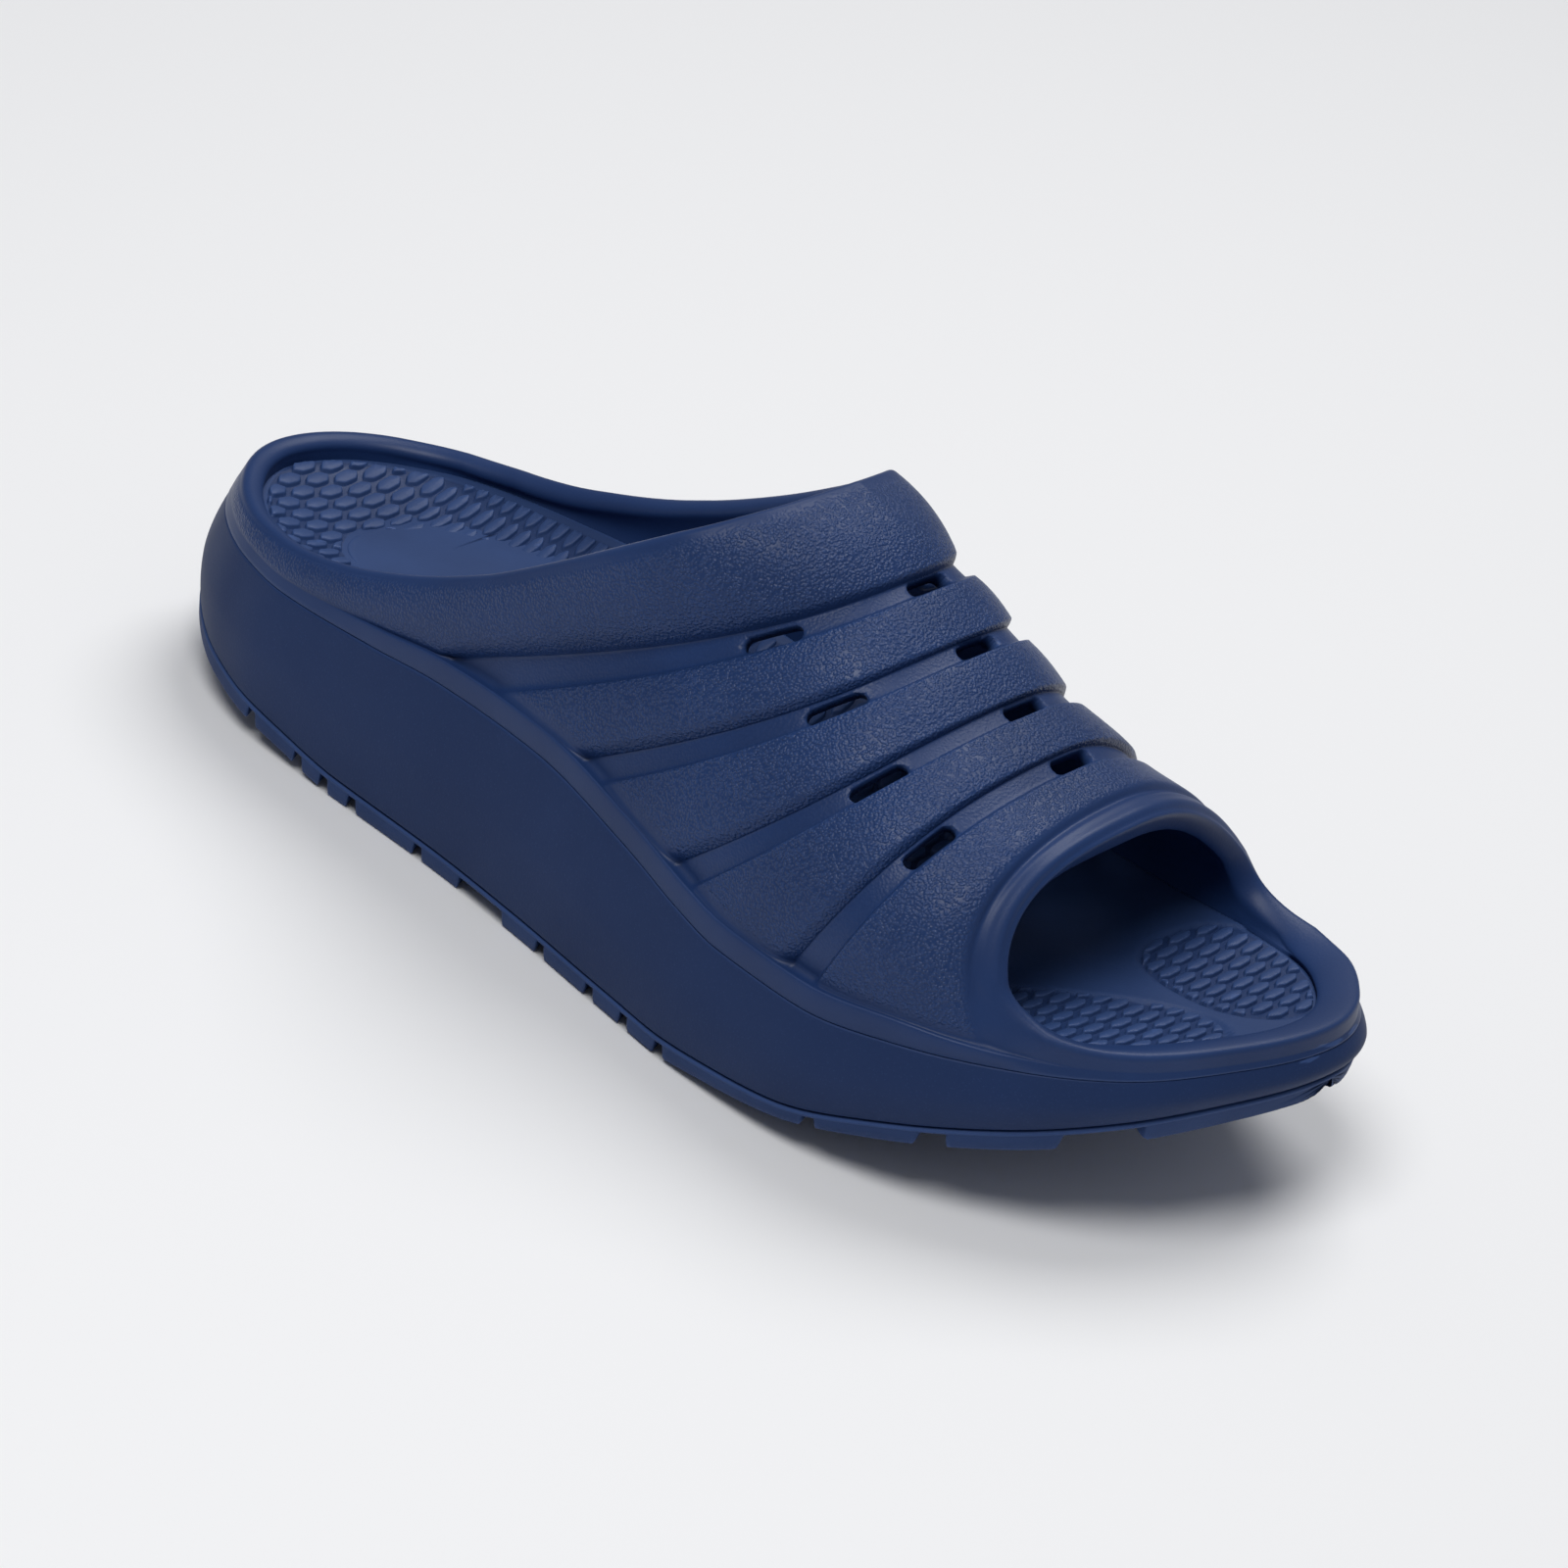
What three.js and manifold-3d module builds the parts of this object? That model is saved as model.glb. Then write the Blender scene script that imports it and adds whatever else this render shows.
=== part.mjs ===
// A moulded foam slide sandal for the right foot: a lugged outsole, a thick rocker midsole, a footbed
// and a one-piece upper whose walls rise from the heel into a banded, vented instep with an open toe.
// Millimetres, +X towards the toe, +Y towards the inner (medial) side of the foot, +Z up.
// The origin is under the middle of the shoe's box, on the floor.
import * as THREE from "three";
import { mergeVertices } from "three/addons/utils/BufferGeometryUtils.js";
import Module from "manifold-3d";

const wasm = await Module();
wasm.setup();

// Driving sizes
const LENGTH = 290; // heel to toe
const BALL_WIDTH = 117; // across the ball of the foot
const SOLE_HEIGHT = 40; // floor to the parting line, at the waist of the foot
const INSTEP_HEIGHT = 109.3; // floor to the middle of the collar's front edge
const GAP = 0.3; // left between pieces that meet on a curve

// Outsole
const PLATE_THICKNESS = 1.2;
const PLATE_INSET = 0.9;
const PLATE_SLOPE = 0.3; // how much further in the plate's lower edge stands
const LUG_STEP = 0.2; // how far in from the plate a lug's root stands
const LUG_TAPER = 1.3; // how much further in a lug's foot stands than its root
const LUG_ROOT = 0.2; // how far a lug is sunk into the plate
const GROOVE_SWEEP = 9; // how far a groove's middle lies behind its ends

// Midsole
const BULGE = 0; // inset of its widest ring
const LINE_INSET = 1; // inset of its lower edge
const PARTING_INSET = 2.4; // inset of its upper edge

// Upper
const RAND_INSET = 0.6; // inset of the ledge's top edge from the parting line
const WALL_INSET = 1.4; // inset of the wall's foot from the parting line, behind the ledge
const END_WALL_INSET = 0.7; // the same at the heel and round the toe, where the ledge fades
const RIM_INSET = 6; // inset of the heel's rim
const SEAT_INSET = 10; // inset of the inner face at the footbed
const RIM_WALL = 6; // thickness at the rim
const ARCH_WALL = 5; // thickness over the instep
const RIM_ROUND = 1.6; // how far a rim's rounded edge stands past its corners
const TROUGH_DEPTH = 1.8;
const BAND_BULGE = 1.2; // how far a band's middle stands past its edges
const REAR_BULGE = 1.6; // the same for the band along the collar
const SLOT_LENGTH = 13;
const SLOT_WIDTH = 3.6;
const CREST_SHIFT = 3; // how far the crest leans to the inner side at the toe opening
const SIDE_FLARE = 1.5; // how far a wall swells out over the ledge on its way to the crest
const TOE_RIM_INSET = 3; // inset of the toe's rim
const TOE_RIM_WIDTH = 7.2; // how broad the toe's rim is
const TOE_RIM_SLOPE = 0.25; // height of its inner edge over the footbed, as a share of its outer one's
const RAND_SWELL = 0.2; // how far the ledge's side swells out
const LEDGE_ROUND = 0.4; // how far the ledge's outer edge lies below its inner one

// Fullness of the instep's section: how far up and how far out its side's corner lies, as a share.
const LATERAL_FULLNESS = 0.68;
const MEDIAL_FULLNESS = 0.46; // towards the toe

// Footbed
const BED_THICKNESS = 5;

// Counts of steps
const SIDE_STEPS = 36;
const ACROSS_STEPS = 8; // over the footbed
const FLAT_STEPS = 2; // over faces that are straight across
const END_STEPS = 15; // round the heel and round the toe, in the upper
const END_MARGIN = 0.015; // least share of LENGTH between those stations and the bands' lines
const SLOT_SEGMENTS = 5; // over a slot's round end

// Plan outline at its widest: half widths as shares of BALL_WIDTH, stations as shares of LENGTH.
const PLAN = [
  { at: 0.0, lateral: 0.0, medial: 0.0 },
  { at: 0.02, lateral: 0.157, medial: 0.165 },
  { at: 0.05, lateral: 0.242, medial: 0.25 },
  { at: 0.1, lateral: 0.318, medial: 0.324 },
  { at: 0.15, lateral: 0.353, medial: 0.35 },
  { at: 0.25, lateral: 0.368, medial: 0.357 },
  { at: 0.35, lateral: 0.385, medial: 0.35 },
  { at: 0.45, lateral: 0.419, medial: 0.359 },
  { at: 0.55, lateral: 0.464, medial: 0.389 },
  { at: 0.65, lateral: 0.504, medial: 0.44 },
  { at: 0.72, lateral: 0.513, medial: 0.474 },
  { at: 0.8, lateral: 0.482, medial: 0.474 },
  { at: 0.88, lateral: 0.385, medial: 0.453 },
  { at: 0.94, lateral: 0.248, medial: 0.41 },
  { at: 0.98, lateral: 0.051, medial: 0.316 },
  { at: 1.0, lateral: -0.162, medial: 0.162 },
];

// Heights of the sole's lines, as shares of SOLE_HEIGHT: the ground face, the seam between outsole
// and midsole, the parting line under the upper, and the top of the upper's ledge. "tuck" is how
// far in the parting line stands, as a share of PARTING_INSET.
const SOLE = [
  { at: 0.0, ground: 0.34, seam: 0.47, parting: 0.92, ledge: 0.985, tuck: 1.1 },
  { at: 0.07, ground: 0.2, seam: 0.34, parting: 0.92, ledge: 0.985, tuck: 1.2 },
  { at: 0.12, ground: 0.135, seam: 0.27, parting: 0.915, ledge: 0.985, tuck: 1.25 },
  { at: 0.18, ground: 0.07, seam: 0.2, parting: 0.925, ledge: 1.01, tuck: 1.15 },
  { at: 0.25, ground: 0.0, seam: 0.135, parting: 0.955, ledge: 1.07, tuck: 1.2 },
  { at: 0.32, ground: 0.0, seam: 0.13, parting: 0.995, ledge: 1.135, tuck: 1.4 },
  { at: 0.42, ground: 0.0, seam: 0.13, parting: 1.005, ledge: 1.155, tuck: 1.5 },
  { at: 0.53, ground: 0.0, seam: 0.13, parting: 0.915, ledge: 1.065, tuck: 1.3 },
  { at: 0.6, ground: 0.0, seam: 0.13, parting: 0.825, ledge: 0.975, tuck: 1.0 },
  { at: 0.65, ground: 0.04, seam: 0.158, parting: 0.775, ledge: 0.925, tuck: 0.9 },
  { at: 0.73, ground: 0.125, seam: 0.23, parting: 0.77, ledge: 0.915, tuck: 0.8 },
  { at: 0.82, ground: 0.31, seam: 0.427, parting: 0.845, ledge: 0.965, tuck: 0.8 },
  { at: 0.885, ground: 0.445, seam: 0.57, parting: 0.895, ledge: 0.965, tuck: 0.8 },
  { at: 0.95, ground: 0.61, seam: 0.735, parting: 0.95, ledge: 0.99, tuck: 0.8 },
  { at: 1.0, ground: 0.74, seam: 0.85, parting: 1.0, ledge: 1.03, tuck: 0.8 },
];

// Heights of the footbed's face along its middle and at its two edges, as shares of SOLE_HEIGHT.
const BED = [
  { at: 0.0, middle: 1.01, lateral: 1.01, medial: 1.01 },
  { at: 0.05, middle: 0.945, lateral: 1.02, medial: 1.03 },
  { at: 0.12, middle: 0.9, lateral: 1.04, medial: 1.075 },
  { at: 0.2, middle: 0.89, lateral: 1.07, medial: 1.13 },
  { at: 0.3, middle: 0.91, lateral: 1.1, medial: 1.19 },
  { at: 0.4, middle: 0.935, lateral: 1.08, medial: 1.2 },
  { at: 0.5, middle: 0.9, lateral: 1.01, medial: 1.13 },
  { at: 0.6, middle: 0.83, lateral: 0.93, medial: 1.01 },
  { at: 0.7, middle: 0.79, lateral: 0.87, medial: 0.91 },
  { at: 0.8, middle: 0.82, lateral: 0.89, medial: 0.91 },
  { at: 0.9, middle: 0.92, lateral: 0.965, medial: 0.975 },
  { at: 1.0, middle: 1.06, lateral: 1.06, medial: 1.06 },
];

// The instep's face is ruled by lines that rise from the ledge, at share "base" of LENGTH, to the
// crest at share "along", where the height is a share of INSTEP_HEIGHT. "bow" is how far back a
// line bows on its way, as a share of LENGTH. The first line is the first trough's rear edge and
// the last is the edge of the toe opening.
const LINES = [
  { base: 0.317, along: 0.612, height: 0.8975, bow: 0.0 },
  { base: 0.376, along: 0.6255, height: 0.8808, bow: 0.0 },
  { base: 0.469, along: 0.662, height: 0.8304, bow: 0.0 },
  { base: 0.498, along: 0.6755, height: 0.8124, bow: 0.0 },
  { base: 0.584, along: 0.71, height: 0.7638, bow: 0.0 },
  { base: 0.61, along: 0.7235, height: 0.7478, bow: 0.0 },
  { base: 0.709, along: 0.756, height: 0.7143, bow: 0.0 },
  { base: 0.736, along: 0.771, height: 0.696, bow: 0.0 },
  { base: 0.8, along: 0.798, height: 0.676, bow: 0.004 },
  { base: 0.88, along: 0.825, height: 0.656, bow: 0.026 },
];
const FIRST_LINE = LINES[0].base;
const LAST_LINE = LINES.at(-1).base;

// The collar's edge from the middle of the heel, at share 0, to its front on the crest, at 1. Up to
// COLLAR_TURN the wall under it stands on the ledge, from there on the first trough's rear edge.
// "spread" is 0 on the crest and 1 over the outline, "lean" the inset as a share of RIM_INSET, and
// the heights are shares of INSTEP_HEIGHT.
const COLLAR_TURN = 0.6;
const COLLAR = [
  { share: 0.0, along: 0.0, spread: 1.0, lateral: 0.405, medial: 0.405, lean: 0.85 },
  { share: 0.1, along: 0.058, spread: 1.0, lateral: 0.4, medial: 0.41, lean: 0.88 },
  { share: 0.2, along: 0.133, spread: 1.0, lateral: 0.415, medial: 0.43, lean: 1.0 },
  { share: 0.3, along: 0.19, spread: 1.0, lateral: 0.447, medial: 0.459, lean: 1.0 },
  { share: 0.4, along: 0.235, spread: 1.0, lateral: 0.487, medial: 0.495, lean: 1.0 },
  { share: 0.5, along: 0.28, spread: 1.0, lateral: 0.537, medial: 0.538, lean: 1.0 },
  { share: 0.6, along: 0.33, spread: 1.0, lateral: 0.605, medial: 0.597, lean: 1.0 },
  { share: 0.7, along: 0.425, spread: 0.95, lateral: 0.772, medial: 0.741, lean: 1.0 },
  { share: 0.8, along: 0.487, spread: 0.8, lateral: 0.888, medial: 0.86, lean: 1.0 },
  { share: 0.9, along: 0.529, spread: 0.43, lateral: 0.968, medial: 0.962, lean: 1.0 },
  { share: 1.0, along: 0.543, spread: 0.0, lateral: 0.994, medial: 0.994, lean: 1.0 },
];

// The toe's low rim, from the end of the toe opening's edge to the tip.
const TOE_RIM = [
  { base: 0.88, along: 0.882, lateral: 0.395, medial: 0.39 },
  { base: 0.92, along: 0.925, lateral: 0.383, medial: 0.39 },
  { base: 0.96, along: 0.962, lateral: 0.387, medial: 0.396 },
  { base: 1.0, along: 1.0, lateral: 0.4, medial: 0.4 },
];

// The troughs between the bands, from their rear to their front edge, as base shares, and how far
// up its line the side slot in each lies.
const TROUGHS = [
  { rear: 0.317, front: 0.376, slot: 0.51 },
  { rear: 0.469, front: 0.498, slot: 0.54 },
  { rear: 0.584, front: 0.61, slot: 0.54 },
  { rear: 0.709, front: 0.736, slot: 0.54 },
];
const TROUGH_SHOULDER = 0.16; // share of a trough's width that each of its sides takes

// The grooves between the lugs: middle and width along the outer edge, as shares of LENGTH.
const GROOVES = [
  { at: 0.126, width: 0.007 },
  { at: 0.18, width: 0.007 },
  { at: 0.209, width: 0.007 },
  { at: 0.24, width: 0.007 },
  { at: 0.312, width: 0.007 },
  { at: 0.383, width: 0.048 },
  { at: 0.452, width: 0.007 },
  { at: 0.509, width: 0.007 },
  { at: 0.548, width: 0.007 },
  { at: 0.587, width: 0.007 },
  { at: 0.724, width: 0.008 },
  { at: 0.808, width: 0.016 },
  { at: 0.898, width: 0.036 },
];

const FOAM = { color: 0x1f3763, roughness: 0.55, metalness: 0 };

// A smooth curve through the rows' values that never overshoots them (monotone cubic).
function curveThrough(rows, stationKey, key) {
  const x = rows.map((row) => row[stationKey]);
  const y = rows.map((row) => row[key]);
  const last = x.length - 1;
  const chord = x.slice(1).map((_, i) => (y[i + 1] - y[i]) / (x[i + 1] - x[i]));
  const slope = x.map((_, i) => {
    if (i === 0) return chord[0];
    if (i === last) return chord[last - 1];
    if (chord[i - 1] * chord[i] <= 0) return 0;
    const before = x[i] - x[i - 1];
    const after = x[i + 1] - x[i];
    const weight = 3 * (before + after);
    return weight / ((2 * after + before) / chord[i - 1] + (after + 2 * before) / chord[i]);
  });
  return (at) => {
    const t = Math.min(Math.max(at, x[0]), x[last]);
    let i = 0;
    while (i < last - 1 && t > x[i + 1]) i += 1;
    const span = x[i + 1] - x[i];
    const s = (t - x[i]) / span;
    const rise = 3 * s * s - 2 * s * s * s;
    return (
      y[i] * (1 - rise) +
      y[i + 1] * rise +
      span * (slope[i] * (s * s * s - 2 * s * s + s) + slope[i + 1] * (s * s * s - s * s))
    );
  };
}

function columns(rows, stationKey) {
  const keys = Object.keys(rows[0]).filter((key) => key !== stationKey);
  return Object.fromEntries(keys.map((key) => [key, curveThrough(rows, stationKey, key)]));
}

// Half widths are interpolated over the square root of the distance from the nearer end, so that
// the heel and the toe come out round. The two curves blend round the middle.
const PLAN_MIDDLE = 0.45;
const PLAN_BLEND = 0.2;
const HEEL_PLAN_END = 0.8;
const TOE_PLAN_START = 0.25;
const fromHeel = PLAN.filter((row) => row.at <= HEEL_PLAN_END).map((row) => ({
  ...row,
  root: Math.sqrt(row.at),
}));
const fromToe = PLAN.filter((row) => row.at >= TOE_PLAN_START).map((row) => ({
  ...row,
  root: -Math.sqrt(1 - row.at),
}));
const heelPlan = columns(fromHeel, "root");
const toePlan = columns(fromToe, "root");
const sole = columns(SOLE, "at");
const bed = columns(BED, "at");
const line = columns(LINES, "base");
const collar = columns(COLLAR, "share");
const toe = columns(TOE_RIM, "base");

const SIDES = [
  { name: "lateral", sign: -1 },
  { name: "medial", sign: 1 },
];
const FOOT_BLEND = 0.35; // share of a line over which its foot's own shape fades
const SMALL = 1e-3; // step for slopes
const vector = (p) => new THREE.Vector3(p.x, p.y, p.z);
const mix = (a, b, t) => a + (b - a) * t;
const clamp01 = (t) => Math.min(Math.max(t, 0), 1);
const smooth = (t) => clamp01(t) * clamp01(t) * (3 - 2 * clamp01(t));

function halfWidth(side, at) {
  const blend = smooth((at - PLAN_MIDDLE) / PLAN_BLEND + 0.5);
  const heel = heelPlan[side.name](Math.sqrt(Math.min(at, HEEL_PLAN_END)));
  const toe = toePlan[side.name](-Math.sqrt(Math.max(1 - at, 0)));
  return mix(heel, toe, blend) * BALL_WIDTH;
}

// The outline drawn in by a distance, at a station from 0 at the heel to 1 at the toe.
const MEAN_HALF_WIDTH = 0.43 * BALL_WIDTH;
function outline(side, at, inset) {
  return {
    x: LENGTH / 2 + (at - 0.5) * (LENGTH - 2 * inset),
    y: side.sign * halfWidth(side, at) * (1 - inset / MEAN_HALF_WIDTH),
  };
}

// Stations crowded towards both ends, where the outline turns.
function stations(steps) {
  return Array.from({ length: steps + 1 }, (_, i) => (1 - Math.cos((Math.PI * i) / steps)) / 2);
}

// Collects the faces of one closed surface.
class Surface {
  constructor() {
    this.positions = [];
  }
  triangle(a, b, c) {
    this.positions.push(a.x, a.y, a.z, b.x, b.y, b.z, c.x, c.y, c.z);
  }
  // Rows of points of equal length; faces look along (next point) x (next row).
  grid(rows, flip = false) {
    for (let i = 0; i + 1 < rows.length; i += 1) {
      for (let j = 0; j + 1 < rows[i].length; j += 1) {
        const [a, b] = [rows[i][j], rows[i][j + 1]];
        const [d, c] = [rows[i + 1][j], rows[i + 1][j + 1]];
        if (flip) {
          this.triangle(a, c, b);
          this.triangle(a, d, c);
        } else {
          this.triangle(a, b, c);
          this.triangle(a, c, d);
        }
      }
    }
  }
  solid() {
    const geometry = new THREE.BufferGeometry();
    geometry.setAttribute("position", new THREE.Float32BufferAttribute(this.positions, 3));
    return solidFrom(geometry);
  }
}

function solidFrom(geometry) {
  const bare = geometry.index ? geometry.toNonIndexed() : geometry.clone();
  bare.deleteAttribute("normal");
  bare.deleteAttribute("uv");
  const merged = mergeVertices(bare, 1e-3);
  const kept = [];
  const index = merged.index.array;
  for (let i = 0; i < index.length; i += 3) {
    const [a, b, c] = [index[i], index[i + 1], index[i + 2]];
    if (a !== b && b !== c && c !== a) kept.push(a, b, c);
  }
  return new wasm.Manifold(
    new wasm.Mesh({
      numProp: 3,
      vertProperties: merged.attributes.position.array,
      triVerts: new Uint32Array(kept),
    }),
  );
}

function meshFrom(solid, name, look) {
  const made = solid.getMesh();
  const geometry = new THREE.BufferGeometry();
  geometry.setAttribute("position", new THREE.BufferAttribute(made.vertProperties, 3));
  geometry.setIndex(new THREE.BufferAttribute(made.triVerts, 1));
  geometry.computeVertexNormals();
  const mesh = new THREE.Mesh(geometry, new THREE.MeshStandardMaterial(look));
  mesh.name = name;
  return mesh;
}

// A ring round the outline as two rows of points, one a side, each from heel to toe.
function ring(list, inset, height) {
  return SIDES.map((side) =>
    list.map((at) => ({ ...outline(side, at, inset(at)), z: height(at, side) })),
  );
}

// A closed body from rings stacked upwards, closed below and above by faces across the outline.
function stack(rings, low, high) {
  const surface = new Surface();
  for (const [s, side] of SIDES.entries()) {
    surface.grid(
      rings.map((r) => r[s]),
      side.sign > 0,
    );
  }
  surface.grid(across(rings[0], low), false);
  surface.grid(across(rings.at(-1), high), true);
  return surface.solid();
}

// Rows of points across a ring, one for each station; height(i, t, edge) gives the height at
// station i and share t of the way across, where a straight face would be at "edge".
function across([lateral, medial], { steps, height }) {
  return lateral.map((a, i) =>
    Array.from({ length: steps + 1 }, (_, j) => {
      const t = j / steps;
      const b = medial[i];
      const edge = mix(a.z, b.z, t);
      const z = j === 0 || j === steps ? edge : height(i, t, edge);
      return { x: mix(a.x, b.x, t), y: mix(a.y, b.y, t), z };
    }),
  );
}

const partingInset = (at) => sole.tuck(at) * PARTING_INSET;
const groundHeight = (at) => sole.ground(at) * SOLE_HEIGHT;
const seamHeight = (at) => sole.seam(at) * SOLE_HEIGHT;
const partingHeight = (at) => sole.parting(at) * SOLE_HEIGHT;
const ledgeHeight = (at) => sole.ledge(at) * SOLE_HEIGHT;
const bedEdge = (at, side) => bed[side.name](at) * SOLE_HEIGHT;

const STATIONS = stations(SIDE_STEPS);

// The height of the footbed's face at station i and share t across, over edges at "edge": the face
// stays flat over its middle and curls up to its sides.
const BED_CURL = 2.4;
function bedFace(i, t, edge) {
  const at = STATIONS[i];
  const middle = bed.middle(at) * SOLE_HEIGHT;
  const side = t < 0.5 ? SIDES[0] : SIDES[1];
  const out = Math.abs(2 * t - 1);
  const drop = bedEdge(at, side) - middle;
  const sunk = mix(bedEdge(at, SIDES[0]), bedEdge(at, SIDES[1]), t) - edge;
  return middle + drop * out ** BED_CURL - sunk;
}

const FLAT = { steps: FLAT_STEPS, height: (i, t, edge) => edge };
const HOLLOWED = { steps: ACROSS_STEPS, height: bedFace };

function footbed() {
  const inset = () => SEAT_INSET + 2 * GAP;
  return stack(
    [
      ring(STATIONS, inset, (at, side) => bedEdge(at, side) - BED_THICKNESS),
      ring(STATIONS, inset, bedEdge),
    ],
    HOLLOWED,
    HOLLOWED,
  );
}

// The midsole's side between its two edges: how far up a ring lies, and how far in, as a share of
// the parting line's inset.
const BELLY = [
  { level: 0.2, drawn: 0.1 },
  { level: 0.42, drawn: 0 },
  { level: 0.75, drawn: 0.4 },
  { level: 1, drawn: 1 },
];

function midsole() {
  const height = (share) => (at) => mix(seamHeight(at), partingHeight(at), share);
  const inner = () => SEAT_INSET + GAP;
  const inset = (share) => (at) => mix(BULGE, partingInset(at), share);
  return stack(
    [
      ring(STATIONS, () => LINE_INSET, seamHeight),
      ...BELLY.map(({ level, drawn }) => ring(STATIONS, inset(drawn), height(level))),
      ring(STATIONS, inner, partingHeight),
      ring(STATIONS, inner, (at, side) => bedEdge(at, side) - BED_THICKNESS - GAP),
    ],
    FLAT,
    HOLLOWED,
  );
}

// One groove: a swept strip across the sole, cut from the lugs over their whole height. It meets
// the outline at its stated station, GROOVE_SWEEP ahead of its middle.
function grooveCutter({ at, width }) {
  const half = (width * LENGTH) / 2;
  const reach = halfWidth(SIDES[0], at) + halfWidth(SIDES[1], at);
  const ahead = at * LENGTH + GROOVE_SWEEP;
  const behind = at * LENGTH - GROOVE_SWEEP;
  const shape = new THREE.Shape();
  const edge = (sign) => [
    [ahead + sign * half, -reach],
    [behind + sign * half, 0],
    [ahead + sign * half, reach],
  ];
  const corners = [...edge(1), ...edge(-1).reverse()];
  corners.forEach(([x, y], i) => (i ? shape.lineTo(x, y) : shape.moveTo(x, y)));
  shape.closePath();
  const depth = SOLE_HEIGHT * 2;
  const geometry = new THREE.ExtrudeGeometry(shape, { depth, bevelEnabled: false });
  geometry.translate(0, 0, -depth / 2);
  return solidFrom(geometry);
}

function outsole() {
  const plateTop = (at) => seamHeight(at) - GAP;
  const plateFoot = (at) => plateTop(at) - PLATE_THICKNESS;
  const plate = stack(
    [
      ring(STATIONS, () => PLATE_INSET + PLATE_SLOPE, plateFoot),
      ring(STATIONS, () => PLATE_INSET, plateTop),
    ],
    FLAT,
    FLAT,
  );
  const lugInset = (share) => () => PLATE_INSET + LUG_STEP + LUG_TAPER * share;
  let lugs = stack(
    [
      ring(STATIONS, lugInset(1), groundHeight),
      ring(STATIONS, lugInset(0.35), (at) => mix(groundHeight(at), plateFoot(at), 0.5)),
      ring(STATIONS, lugInset(0), (at) => plateFoot(at) + LUG_ROOT),
    ],
    FLAT,
    FLAT,
  );
  for (const groove of GROOVES) lugs = lugs.subtract(grooveCutter(groove));
  return plate.add(lugs);
}

// How far to the inner side the crest lies: it drifts there between two stations.
const CREST_DRIFT = { from: 0.55, to: 0.85 };
const crest = (at) =>
  CREST_SHIFT * smooth((at - CREST_DRIFT.from) / (CREST_DRIFT.to - CREST_DRIFT.from));

// The inner side's section grows flatter between two base shares.
const FLATTER = { from: 0.4, to: 0.75 };

// How far forward of its foot a band's line has come at its first control point, as a share.
const FIRST_RUN = 0.8;

// Where the ledge has grown to its full width behind the instep, and where it fades at the toe.
const LEDGE_GROWS = { from: 0.16, to: 0.31 };
const LEDGE_FADES = { from: 0.85, to: 0.92 };

// How far behind the ledge's edge the wall's foot stands.
function wallInset(base) {
  const grown = smooth((base - LEDGE_GROWS.from) / (LEDGE_GROWS.to - LEDGE_GROWS.from));
  const faded = smooth((base - LEDGE_FADES.from) / (LEDGE_FADES.to - LEDGE_FADES.from));
  return mix(END_WALL_INSET, WALL_INSET, grown * (1 - faded));
}

// The foot of the upper's wall, behind the ledge.
function wallFoot(base, side) {
  const inset = partingInset(base) + wallInset(base);
  return { ...outline(side, base, inset), z: ledgeHeight(base) };
}

// The edge where the upper's inner face meets the footbed.
function seatEdge(base, side) {
  return { ...outline(side, base, SEAT_INSET), z: bedEdge(base, side) + GAP };
}

// The four control points of a line over the instep, from the ledge to the crest.
function bandLine(base, side) {
  const foot = wallFoot(base, side);
  const along = line.along(base);
  const top = { x: along * LENGTH, y: crest(along), z: line.height(base) * INSTEP_HEIGHT };
  const flatter =
    side.sign > 0 ? smooth((base - FLATTER.from) / (FLATTER.to - FLATTER.from)) : 0;
  const fullness = mix(LATERAL_FULLNESS, MEDIAL_FULLNESS, flatter);
  const bow = line.bow(base) * LENGTH;
  const rising = {
    x: mix(foot.x, top.x, FIRST_RUN) - bow,
    y: foot.y + side.sign * SIDE_FLARE,
    z: mix(foot.z, top.z, fullness),
  };
  const arriving = { x: top.x, y: mix(top.y, foot.y, fullness), z: top.z };
  return [foot, rising, arriving, top];
}

function bezier([a, b, c, d], t) {
  const s = 1 - t;
  const blend = (key) =>
    s * s * s * a[key] + 3 * s * s * t * b[key] + 3 * s * t * t * c[key] + t * t * t * d[key];
  return new THREE.Vector3(blend("x"), blend("y"), blend("z"));
}

// Each patch of the upper's outer face gives a point for a share "along" it and a share "up" it,
// the range of "along", and where "along" or "up" lies on the middle of the shoe, where the two
// sides meet and must agree.
const bandPatch = {
  range: [FIRST_LINE, LAST_LINE],
  middleAlong: [],
  middleUp: [1],
  point: (base, side, t) => bezier(bandLine(base, side), t),
};

// The foot of the wall under the collar: the ledge up to the first trough, then the trough's edge.
function collarFoot(share, side) {
  if (share <= COLLAR_TURN) return vector(wallFoot((share / COLLAR_TURN) * FIRST_LINE, side));
  return bandPatch.point(FIRST_LINE, side, (share - COLLAR_TURN) / (1 - COLLAR_TURN));
}

function collarEdge(share, side) {
  const along = collar.along(share);
  const over = outline(side, along, collar.lean(share) * RIM_INSET);
  const height = collar[side.name](share) * INSTEP_HEIGHT;
  return new THREE.Vector3(over.x, mix(crest(along), over.y, clamp01(collar.spread(share))), height);
}

// A straight line between two points, swollen outwards in its middle.
function swollen(foot, top, outwards, rise, t) {
  return foot
    .clone()
    .lerp(top, t)
    .addScaledVector(outwards, 4 * rise * t * (1 - t));
}

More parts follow.
